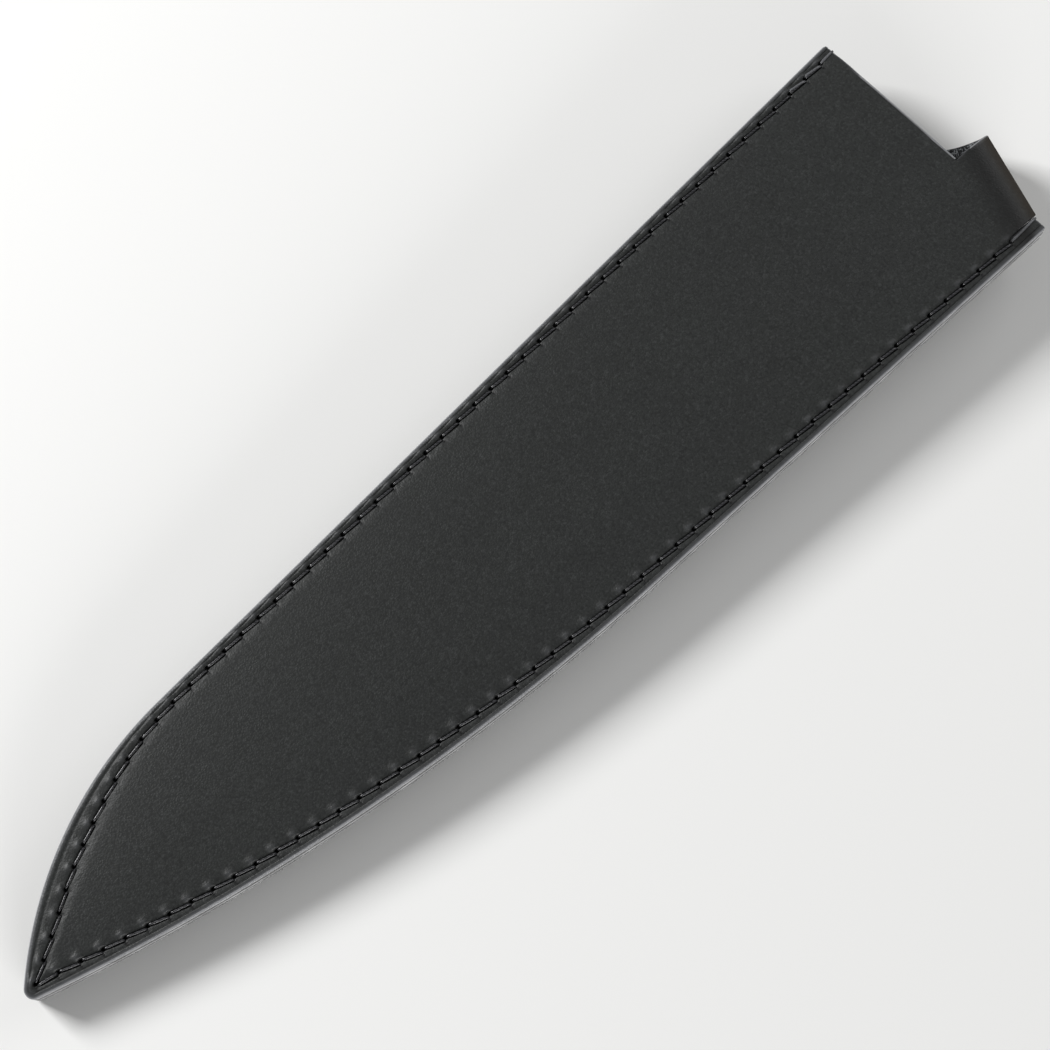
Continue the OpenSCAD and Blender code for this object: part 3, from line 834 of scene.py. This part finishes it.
def swept(bm, points, radii):
    """A round thread along some points: one ring, extruded from each point to the next."""
    runs = [(b - a).normalized() for a, b in zip(points, points[1:])]
    ahead = runs[0]
    base = Vector((0, 0, 1)).rotation_difference(ahead).to_matrix().to_4x4()
    ring = bmesh.ops.create_circle(bm, segments=THREAD_SIDES, radius=radii[0], cap_ends=True,
                                   matrix=Matrix.Translation(points[0]) @ base)["verts"]
    front = [f for f in bm.faces if all(v in ring for v in f.verts)]
    for i in range(1, len(points)):
        facing = (runs[i - 1] + runs[min(i, len(runs) - 1)]).normalized()
        grown = bmesh.ops.extrude_face_region(bm, geom=front, use_keep_orig=(i == 1))["geom"]
        verts = [g for g in grown if isinstance(g, bmesh.types.BMVert)]
        front = [g for g in grown if isinstance(g, bmesh.types.BMFace)]
        turn = ahead.rotation_difference(facing).to_matrix()
        bmesh.ops.rotate(bm, verts=verts, cent=points[i - 1], matrix=turn)
        bmesh.ops.translate(bm, verts=verts, vec=points[i] - points[i - 1])
        for v in verts:
            v.co = points[i] + (v.co - points[i]) * (radii[i] / radii[i - 1])
        ahead = facing


def one_stitch():
    """A stitch over a length of 1 along X. Its width and height are in millimetres."""
    bm = bmesh.new()
    stretch = PITCH["spine"]
    swept(bm, [Vector((x * stretch, y, z)) for x, y, z in RISE], [THREAD_R] * len(RISE))
    bmesh.ops.scale(bm, verts=bm.verts, vec=(1 / stretch, 1, 1))
    return mesh_of(bm, "stitch")


# %% Stitch the seams
SEEDS = {"spine": 7, "edge": 11}
TILTS, LIFTS, WIDTHS = (-0.03, 0.03), (-0.03, 0.04), (0.92, 1.1)


def stitch_places(side, up):
    """Where each stitch of a seam lies, with the small differences of handwork."""
    rng = random.Random(SEEDS[side])
    for i in range(HOLES[side]):
        a, b = MARKS[side][i][0], MARKS[side][i + 1][0]
        run = b - a
        tilt, lift = rng.uniform(*TILTS), rng.uniform(*LIFTS)
        z = (RIM_Z - SUNK + lift - MIDDLE_Z) * up + MIDDLE_Z
        turn = Matrix.Rotation(math.atan2(run.y, run.x) + tilt, 4, "Z")
        flip = -1 if (side, i) == CROSSED else 1
        size = Matrix.Diagonal((run.length, rng.uniform(*WIDTHS) * flip, up, 1))
        yield Matrix.Translation((a.x, a.y, z)) @ turn @ size


def seam_thread(name, side, up, node):
    pattern = one_stitch()
    whole = bmesh.new()
    for place in stitch_places(side, up):
        before = len(whole.verts)
        whole.from_mesh(pattern)
        whole.verts.ensure_lookup_table()
        bmesh.ops.transform(whole, matrix=place, verts=whole.verts[before:])
    bpy.data.meshes.remove(pattern)
    piece = to_piece(whole, name, [THREAD], "sheath", lay=False)
    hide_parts(node)
    return piece


for side in ("spine", "edge"):
    seam_thread(side + "_stitches_face", side, 1, side + "_thread_face")
    seam_thread(side + "_stitches_back", side, -1, side + "_thread_back")


# %% [markdown]
# ## The ends of the thread
# At the mouth the thread is sewn back over the last hole and goes round the cut edge. At
# the heel it goes round the end of the seam in the same way, and it holds the layers there.

# %% End turns
WORN, TWIN_LIFT, PLAIN_THICK = 0.65, 0.08, 1.05
FACE_H = RIM_Z - MIDDLE_Z
# How far along and below the face the turn runs, from its hole and then from the cut end.
OUT_OF_HOLE = ((0.05, 1.5), (0.1, 0.8), (0.35, 0.25), (0.9, 0.06))
OVER_END = ((-0.9, 0.06), (-0.2, 0.14), (0.16, 0.55), (0.26, 1.4), (0.26, FACE_H - 1.2))


def turn_path(reach):
    """Side view of the turn: out of the hole, over the cut end and back below."""
    half = [(x, FACE_H - z) for x, z in OUT_OF_HOLE]
    half += [(reach + x, FACE_H - z) for x, z in OVER_END]
    return half + [(x, -z) for x, z in reversed(half)]


def end_turn(name, side, reach, lean, node, thick, twins=()):
    """The turn over the end of a seam, and the second threads of the stitches before it."""
    place, along = MARKS[side][-1]
    start = place + left_of(along) * 0.3
    heading = Matrix.Rotation(math.atan2(along.y, along.x) + lean, 4, "Z")
    origin = Vector((start.x, start.y, MIDDLE_Z))
    path = turn_path(reach)
    points = [heading @ Vector((x, 0, z)) + origin for x, z in path]
    bm = bmesh.new()
    swept(bm, points, [THREAD_R * (thick + (PLAIN_THICK - thick) * smooth(0.6, reach, x))
                       for x, _ in path])
    for i, aside in twins:
        (a, ta), (b, _) = MARKS[side][i], MARKS[side][i + 1]
        for up in (1, -1):
            line = []
            for x, y, z in RISE:
                p = a.lerp(b, x) + left_of(ta) * (y + aside * (1 - x))
                line.append(Vector((p.x, p.y, MIDDLE_Z + (FACE_H - SUNK + TWIN_LIFT + z) * up)))
            swept(bm, line, [THREAD_R] * len(line))
    worn = bm.verts.layers.float.new("worn")
    for v in bm.verts:
        v[worn] = WORN
    piece = to_piece(bm, name, [THREAD], "sheath", lay=False)
    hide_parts(node)
    return piece


HEEL_REACH = FLANGE_END - MARKS["edge"][-1][0].x
end_turn("spine_end_turn", "spine", SPINE_GAP, 0.03, "spine_end_loop", 1.25,
         twins=((51, 0.5), (52, 0.45)))
end_turn("heel_end_turn", "edge", HEEL_REACH, 0.02, "heel_end_loop", 1.75)

# %% [markdown]
# ## The snap
# The snap is turned and pressed metal, so each part is a profile spun about the snap's own
# axis: a domed cap with a rolled rim, a socket with a lip for its wire ring, and a stud.

# %% Spun parts of the snap
SNAP = row_point(-SNAP_S, SNAP_Y, 0)


def lathe(name, profile, steps=64):
    """Spins a profile of radius and height, in millimetres, about the snap's axis."""
    bm = bmesh.new()
    verts = [bm.verts.new((r, 0, z)) for r, z in profile]
    edges = [bm.edges.new(pair) for pair in zip(verts, verts[1:])]
    bmesh.ops.spin(bm, geom=verts + edges, cent=(0, 0, 0), axis=(0, 0, 1), angle=2 * math.pi,
                   steps=steps, use_merge=True, use_duplicate=False)
    bmesh.ops.remove_doubles(bm, verts=bm.verts, dist=0.001)
    bmesh.ops.translate(bm, verts=bm.verts, vec=Vector((SNAP.x, SNAP.y, 0)) / MM + MID)
    return bm


def arc_profile(cr, cz, r, a0, a1, n):
    """Points on an arc of a profile, with its angles in degrees."""
    turns = [turned(math.radians(a0 + (a1 - a0) * i / n)) for i in range(n + 1)]
    return [(cr + r * t.x, cz + r * t.y) for t in turns]


# %% Profiles of the snap's parts
CAP = [(0, 0.02), (2.2, 0.0), (4.3, 0.09)] + arc_profile(5.72, 0.72, 0.48, -118, 78, 14)
CAP += [(4.9, 1.2), (1.75, 1.2), (1.65, 1.3), (1.65, 3.6)]
CAP += arc_profile(1.85, 3.7, 0.22, -60, 130, 6) + [(0, 3.75)]
SOCKET = [(1.72, 3.22), (5.0, 3.2)] + arc_profile(4.95, 3.55, 0.35, -90, 20, 5)
SOCKET += arc_profile(4.62, 4.9, 0.3, 0, 180, 8) + arc_profile(3.55, 4.95, 0.25, 60, 230, 8)
SOCKET += [(3.6, 4.7), (3.6, 4.1), (3.0, 4.05), (3.0, 3.62), (1.72, 3.6), (1.72, 3.22)]
STUD = [(1.66, 5.8), (4.75, 5.8)] + arc_profile(4.65, 5.62, 0.16, 60, -90, 5)
STUD += [(3.0, 5.42), (2.62, 5.3), (2.36, 5.0), (2.34, 4.72)]
STUD += arc_profile(2.1, 4.4, 0.4, 20, -80, 7) + [(1.66, 4.0), (1.66, 5.8)]
POST = [(0, 4.2), (1.35, 4.2), (1.6, 4.45), (1.6, 7.28), (3.9, 7.32), (3.98, 7.55), (3.8, 7.78),
        (0, 7.8)]


def snap_part(name, profile, body, node):
    piece = to_piece(lathe(name, profile), name, [METAL], body)
    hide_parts(node)
    return piece


snap_part("snap_cap_dome", CAP, "flap", "snap_cap")
snap_part("snap_socket_ring", SOCKET, "flap", "snap_socket")
snap_part("snap_stud_knob", STUD, "sheath", "snap_stud")
snap_part("snap_post_head", POST, "sheath", "snap_post")
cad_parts["snap_spring"].data.materials.clear()
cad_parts["snap_spring"].data.materials.append(SPRING)

# %% [markdown]
# ## Effects that several finishes share
# Grain, fibre and the rim's rub with its painted highlight are each built once as a node
# group. A group only gives out values that change over the surface. The shader stays in each
# material.

# %% Node helpers
class Wiring:
    """Adds nodes to a tree. An input is joined to a socket, or set to a plain value."""

    def __init__(self, tree):
        self.tree = tree

    def give(self, sockets, values):
        for key, value in values.items():
            if isinstance(value, bpy.types.NodeSocket):
                self.tree.links.new(value, sockets[key])
            else:
                sockets[key].default_value = value

    def node(self, kind, inputs, **settings):
        made = self.tree.nodes.new("ShaderNode" + kind)
        for key, value in settings.items():
            setattr(made, key, value)
        self.give(made.inputs, inputs)
        return made.outputs

    def math(self, operation, a, b, clamp=False):
        return self.node("Math", {0: a, 1: b}, operation=operation, use_clamp=clamp)[0]

    def times(self, a, b):
        return self.math("MULTIPLY", a, b)

    def share(self, value, a, b, to_a=0.0, to_b=1.0):
        """Runs smoothly from to_a to to_b while the value goes from a to b."""
        return self.node("MapRange", {0: value, 1: a, 2: b, 3: to_a, 4: to_b},
                         interpolation_type="SMOOTHSTEP")[0]

    def mix(self, share, a, b):
        """Mixes two colours by a share."""
        return self.node("Mix", {"Factor": share, 6: a, 7: b}, data_type="RGBA")[2]

    def noise(self, at, scale, detail, rough=0.5, distortion=0.0):
        return self.node("TexNoise", {"Vector": at, "Scale": scale, "Detail": detail,
                                      "Roughness": rough, "Distortion": distortion})["Fac"]

    def group(self, group, **inputs):
        return self.node("Group", inputs, node_tree=group)

    def attribute(self, name, output="Fac"):
        return self.node("Attribute", {}, attribute_name=name)[output]

    def bump(self, height, strength, depth_mm):
        return self.node("Bump", {"Height": height, "Strength": strength,
                                  "Distance": depth_mm * MM})[0]


def new_group(name, numbers, outputs):
    """A group that takes coordinates and some numbers, with the wiring inside it."""
    group = bpy.data.node_groups.new(name, "ShaderNodeTree")
    new = group.interface.new_socket
    new(name="Coordinates", in_out="INPUT", socket_type="NodeSocketVector")
    for label, value in numbers.items():
        new(name=label, in_out="INPUT", socket_type="NodeSocketFloat").default_value = value
    for label in outputs:
        new(name=label, in_out="OUTPUT", socket_type="NodeSocketFloat")
    enter, leave = group.nodes.new("NodeGroupInput"), group.nodes.new("NodeGroupOutput")
    return Wiring(group), enter.outputs, leave.inputs


def written(r, g, b):
    """A colour as it is written for a screen, from 0 to 255, as the linear values nodes use."""
    shares = (v / 255 for v in (r, g, b))
    return (*(v / 12.92 if v <= 0.04 else ((v + 0.055) / 1.055) ** 2.4 for v in shares), 1.0)


# %% Pebbled grain
def grain_group():
    """Small pebbles with finer dimples and slow waves of tone. Coordinates are in metres."""
    w, enter, leave = new_group("pebbled grain", {"Pebbles per metre": 2400.0, "Waviness": 0.5},
                                ("Height", "Tone", "Pores"))
    at = enter["Coordinates"]
    drift = w.node("TexNoise", {"Vector": at, "Scale": 420.0, "Detail": 2.0})["Color"]
    lean = w.node("VectorMath", {0: drift, 1: (0.0006, 0.0006, 0.0006), 2: at},
                  operation="MULTIPLY_ADD")[0]
    cells = w.node("TexVoronoi", {"Vector": lean, "Scale": enter["Pebbles per metre"],
                                  "Smoothness": 0.6}, feature="SMOOTH_F1")["Distance"]
    fine, slow = w.noise(at, 5200.0, 3.0, 0.6), w.noise(at, 34.0, 3.0, 0.55)
    patch = w.noise(at, 240.0, 3.0, 0.6)
    pebble = w.times(w.share(cells, 0.0, 0.75, 1.0, 0.0), w.share(patch, 0.3, 0.7, 0.55, 1.0))
    waves = w.times(slow, enter["Waviness"])
    w.give(leave, {"Height": w.math("ADD", pebble, w.times(fine, 0.5)),
                   "Tone": w.math("ADD", waves, w.times(patch, 0.5), clamp=True),
                   "Pores": w.share(cells, 0.45, 0.8)})
    return w.tree


def rub_and_highlight_group():
    """Where hands and the drawer rub the leather, with a painted highlight: the outermost line of the rim
    and the stitch pillows, whose depth is lowered, in patches.
    """
    w, enter, leave = new_group("rim rub and highlight", {"Depth": 3.0, "Reach": 1.0}, ("Rub and highlight",))
    patch = w.noise(enter["Coordinates"], 160.0, 4.0, 0.65)
    near = w.math("DIVIDE", enter["Depth"], enter["Reach"])
    near = w.math("SUBTRACT", 1.0, w.times(near, near), clamp=True)
    w.give(leave, {"Rub and highlight": w.times(near, w.share(patch, 0.2, 0.75, 0.6, 1.0))})
    return w.tree


def fibre_group():
    """Loose fibres: streaks that cross in two directions, with dark gaps between them."""
    w, enter, leave = new_group("loose fibres", {"Fibres per metre": 2600.0}, ("Height", "Gaps"))
    made = []
    for stretch, turn in (((1.0, 0.28, 1.0), 0.5), ((0.3, 1.0, 1.0), -0.3)):
        laid = w.node("Mapping", {"Vector": enter["Coordinates"], "Scale": stretch,
                                  "Rotation": (0, 0, turn)})[0]
        made.append(w.noise(laid, enter["Fibres per metre"], 4.0, 0.7, 0.6))
    height = w.math("MAXIMUM", *made)
    w.give(leave, {"Height": height, "Gaps": w.share(height, 0.5, 0.62, 1.0, 0.0)})
    return w.tree


GRAIN_NODES, RUB_HIGHLIGHT_NODES, FIBRE_NODES = grain_group(), rub_and_highlight_group(), fibre_group()
print("groups", [group.name for group in (GRAIN_NODES, RUB_HIGHLIGHT_NODES, FIBRE_NODES)])


def start_material(material, **values):
    """The wiring of a material, and the inputs of its shader with what is the same all over."""
    w = Wiring(material.node_tree)
    shader = w.tree.nodes["Principled BSDF"].inputs
    w.give(shader, {name.replace("_", " "): value for name, value in values.items()})
    return w, shader


# %% [markdown]
# ## Leather
# The face is drum-dyed black with a fine pebbled grain and a soft sheen. Its tone drifts a
# little and the pores are darker. The rim is rubbed and greyer, with a painted highlight on
# its outermost line and on the pillows by the holes. The holes and a band just before the
# fold get painted shade, and where the strap is bent the colour turns warmer and lighter:
# partly the brown that stretched leather lets through, partly a painted reflection.

# %% Face leather
DYED = written(27, 28, 28), written(46, 48, 47)
# Tones over the dye. The hole tone is painted shade in the stitch holes, the fold tone a band of painted
# shade just before the fold, and the rim tone a painted highlight along the outermost line. The rubbed tone
# is rub wear together with a painted highlight, and the bent tone the brown of stretched leather together
# with a painted reflection.
TONES = {"fleck": (66, 68, 68), "pore": (14, 14, 15), "rub_and_highlight": (92, 93, 96), "hole": (6, 6, 7),
         "fold": (17, 17, 17), "pull_up_and_reflection": (66, 60, 53), "rim": (158, 159, 162)}


def grain_leather():
    w, shader = start_material(GRAIN, Roughness=0.5, Specular_IOR_Level=0.3)
    lay, rim = w.attribute("lay", "Vector"), w.attribute("rim")
    grain = w.group(GRAIN_NODES, Coordinates=lay)
    rub_and_highlight = w.group(RUB_HIGHLIGHT_NODES, Coordinates=lay, Depth=rim)["Rub and highlight"]
    fold_at = (Vector((FOLD_O.x - MID.x, FOLD_O.y - MID.y)) * MM).dot(FOLD_OUT)
    out = w.node("VectorMath", {0: lay, 1: (FOLD_OUT.x, FOLD_OUT.y, 0)},
                 operation="DOT_PRODUCT")["Value"]

    def past_fold(a, b, *to):
        """A share that changes between two distances from the fold, in millimetres."""
        return w.share(out, fold_at + a * MM, fold_at + b * MM, *to)

    # A band of painted shade just before the fold, and past it a warmer, lighter band: partly the brown of
    # stretched leather, partly a painted reflection.
    shade = w.times(past_fold(-6, 1), past_fold(1.5, 3.5, 1, 0))
    pull_up_and_reflection = w.times(past_fold(1.6, 5), past_fold(13, 20, 1, 0))
    pull_up_and_reflection = w.times(pull_up_and_reflection, w.attribute("strap"))
    height = w.node("SeparateXYZ", {0: lay})["Z"]
    # The hole and fold shares place painted shade, and the rim share a painted highlight on the upper face's
    # outermost line. The rubbed share places rub wear with a painted highlight, and the bent share stretched
    # brown with a painted reflection.
    shares = {
        "fleck": w.share(w.noise(lay, 1500.0, 3.0, 0.7), 0.45, 0.8, 0, 0.55),
        "pore": w.share(grain["Pores"], 0, 1, 0, 0.35),
        "rub_and_highlight": w.share(rub_and_highlight, 0, 1, 0, 0.85),
        "hole": w.attribute("holes"),
        "fold": w.times(shade, 0.8),
        "pull_up_and_reflection": w.times(pull_up_and_reflection, 0.9),
        "rim": w.times(w.share(rim, 0.1, 0.42, 0.85, 0), w.share(height, 10 * MM, 10.2 * MM)),
    }
    colour = w.mix(grain["Tone"], *DYED)
    for name, share in shares.items():
        colour = w.mix(share, colour, written(*TONES[name]))
    rough = w.share(grain["Tone"], 0.2, 0.9, 0.56, 0.46)
    rough = w.math("SUBTRACT", rough, w.times(rub_and_highlight, 0.14))
    rough = w.math("ADD", rough, w.times(pull_up_and_reflection, 0.25))
    crinkle = w.times(w.noise(lay, 1300.0, 3.0, 0.7, 0.8), past_fold(-26, -4, 0.0, 0.9))
    relief = w.bump(w.math("ADD", grain["Height"], crinkle), 0.6, 0.06)
    w.give(shader, {"Base Color": colour, "Roughness": rough, "Normal": relief})


grain_leather()

# %% [markdown]
# The cut edges are dyed, waxed and rubbed hard until the fibres lie down, so they are
# smoother than the face, with faint streaks along the layers. The flesh side is the rough
# inner side of the leather, grey and fibrous.

# %% Cut edges and flesh side
def cut_leather():
    w, shader = start_material(CUT, Roughness=0.42, Specular_IOR_Level=0.35)
    lay = w.attribute("lay", "Vector")
    laid = w.node("Mapping", {"Vector": lay, "Scale": (0.25, 0.25, 3.0)})[0]
    streak, patch = w.noise(laid, 900.0, 4.0, 0.65), w.noise(lay, 220.0, 3.0)
    colour = w.mix(w.share(streak, 0.35, 0.7), written(42, 42, 42), written(76, 76, 76))
    colour = w.mix(w.share(patch, 0.45, 0.75, 0, 0.6), colour, written(90, 89, 87))
    w.give(shader, {"Base Color": colour, "Roughness": w.share(patch, 0.3, 0.7, 0.36, 0.52),
                    "Normal": w.bump(streak, 0.4, 0.05)})


def flesh_leather():
    w, shader = start_material(FLESH, Roughness=0.85, Specular_IOR_Level=0.15)
    fibres = w.group(FIBRE_NODES, Coordinates=w.attribute("lay", "Vector"))
    tuft = w.share(fibres["Height"], 0.45, 0.75)
    colour = w.mix(tuft, written(80, 82, 84), written(165, 168, 171))
    colour = w.mix(w.share(fibres["Gaps"], 0, 1, 0, 0.85), colour, written(14, 14, 15))
    rough = w.share(fibres["Height"], 0.4, 0.8, 0.8, 0.95)
    w.give(shader, {"Base Color": colour, "Roughness": rough,
                    "Normal": w.bump(fibres["Height"], 0.9, 0.2)})


cut_leather()
flesh_leather()

# %% [markdown]
# ## Thread and metal
# The thread is black polyester that is pulled through wax, so it shines where it arches
# over the leather. The snap is plated: nearly smooth, with faint turning marks.

# %% Thread and snap finishes
def waves(w, at, scale, distortion, **settings):
    return w.node("TexWave", {"Vector": at, "Scale": scale, "Distortion": distortion,
                              "Detail": 2.0}, **settings)["Fac"]


def thread_finish():
    w, shader = start_material(THREAD, Roughness=0.3, Specular_IOR_Level=0.5)
    where = w.node("TexCoord", {})["Object"]
    twist = waves(w, where, 900.0, 2.0, wave_type="BANDS", bands_direction="DIAGONAL")
    fuzz = w.noise(where, 2500.0, 3.0)
    colour = w.mix(twist, written(32, 32, 34), written(62, 62, 65))
    colour = w.mix(w.attribute("worn"), colour, written(112, 113, 116))
    w.give(shader, {"Base Color": colour, "Roughness": w.share(fuzz, 0.3, 0.7, 0.24, 0.36),
                    "Normal": w.bump(twist, 0.08, 0.05)})


def turned_metal(material, plated, rough):
    w, shader = start_material(material, Metallic=1.0)
    where = w.node("TexCoord", {})["Object"]
    centred = w.node("Mapping", {"Vector": where, "Location": (-SNAP.x, -SNAP.y, 0)})[0]
    rings = waves(w, centred, 1500.0, 0.6, wave_type="RINGS", rings_direction="Z")
    smear = w.noise(where, 380.0, 4.0)
    dull = (*(c * 0.72 for c in plated), 1.0)
    colour = w.mix(w.share(smear, 0.5, 0.75, 0, 0.6), (*plated, 1.0), dull)
    w.give(shader, {"Base Color": colour,
                    "Roughness": w.share(smear, 0.3, 0.7, rough, rough + 0.14),
                    "Normal": w.bump(rings, 0.12, 0.02)})


thread_finish()
turned_metal(METAL, (0.58, 0.57, 0.55), 0.22)
turned_metal(SPRING, (0.42, 0.42, 0.43), 0.3)

# %% [markdown]
# ## Floor, light and camera
# The guard lies on a pale floor that touches the snap and the tip. Two long soft lamps stand
# beside it, one along the spine and a weaker one along the cutting edge. Right above it is
# nothing bright, so the black face stays dark while its rounded rims catch the light. A weak
# lamp below gives the back the light that a pale floor throws up.

# %% Floor and lamps
# The floor tilts a little, so that it touches the snap and the tip.
FLOOR_HALF, FLOOR_TILT, FLOOR_Z = 2.5, math.radians(1.5), 0.0027


def floor():
    bm = bmesh.new()
    bmesh.ops.create_grid(bm, x_segments=2, y_segments=2, size=FLOOR_HALF)
    bmesh.ops.rotate(bm, verts=bm.verts, cent=(0, 0, 0), matrix=Matrix.Rotation(FLOOR_TILT, 3, "Y"))
    bmesh.ops.translate(bm, verts=bm.verts, vec=(0, 0, FLOOR_Z))
    made = linked("floor", mesh_of(bm, "floor"))
    material = plain_material("floor")
    w, _ = start_material(material, Base_Color=(0.86, 0.86, 0.85, 1), Roughness=0.8)
    facing = w.math("SUBTRACT", 1.0, w.node("NewGeometry", {})["Backfacing"])
    shown = w.times(w.node("LightPath", {})["Is Camera Ray"], facing)
    clear = w.node("BsdfTransparent", {})[0]
    surface = w.tree.nodes["Principled BSDF"].outputs[0]
    seen = w.node("MixShader", {0: shown, 1: clear, 2: surface})[0]
    w.give(w.tree.nodes["Material Output"].inputs, {"Surface": seen})
    made.data.materials.append(material)


floor()


def lamp(name, place, target, size, power):
    data = bpy.data.lights.new(name, "AREA")
    data.shape = "RECTANGLE"
    data.size, data.size_y = size
    data.energy = power
    made = linked(name, data)
    made.location = place
    made.rotation_euler = (Vector(target) - Vector(place)).to_track_quat("-Z", "Y").to_euler()


lamp("lamp_spine", (-0.3, 0.95, 0.65), (0, 0, 0), (0.4, 0.35), 16.5)
lamp("lamp_edge", (-0.35, -0.8, 0.22), (-0.02, 0, 0), (0.6, 0.25), 5.5)
lamp("lamp_heel", (0.62, -0.05, 0.3), (0.1, 0, 0), (0.5, 0.4), 1.3)
lamp("floor_glow", (0.0, 0.0, -0.8), (0, 0, 0), (1.2, 1.2), 7)

world = bpy.data.worlds.new("studio")
bpy.context.scene.world = world
world.use_nodes = True
w = Wiring(world.node_tree)
strength = w.share(w.node("LightPath", {})["Is Camera Ray"], 0, 1, 0.14, 0.95)
w.give(w.tree.nodes["Background"].inputs, {"Color": (1, 1, 1, 1), "Strength": strength})

# %% Camera
camera = linked("camera", bpy.data.cameras.new("camera"))
camera.data.lens = 82.3
camera.data.sensor_width = 36
camera.data.clip_start, camera.data.clip_end = 0.01, 20
eye = Vector((-0.07571, -0.07282, 0.47069))
look = Vector((0.165265, 0.161324, -0.972966)).normalized()
up = Vector((0.696659, -0.717403, -0.000356)).cross(look).normalized()
right = look.cross(up)
camera.matrix_world = Matrix.Translation(eye) @ Matrix((right, up, -look)).transposed().to_4x4()
bpy.context.scene.camera = camera
bpy.context.scene.view_settings.view_transform = "Standard"
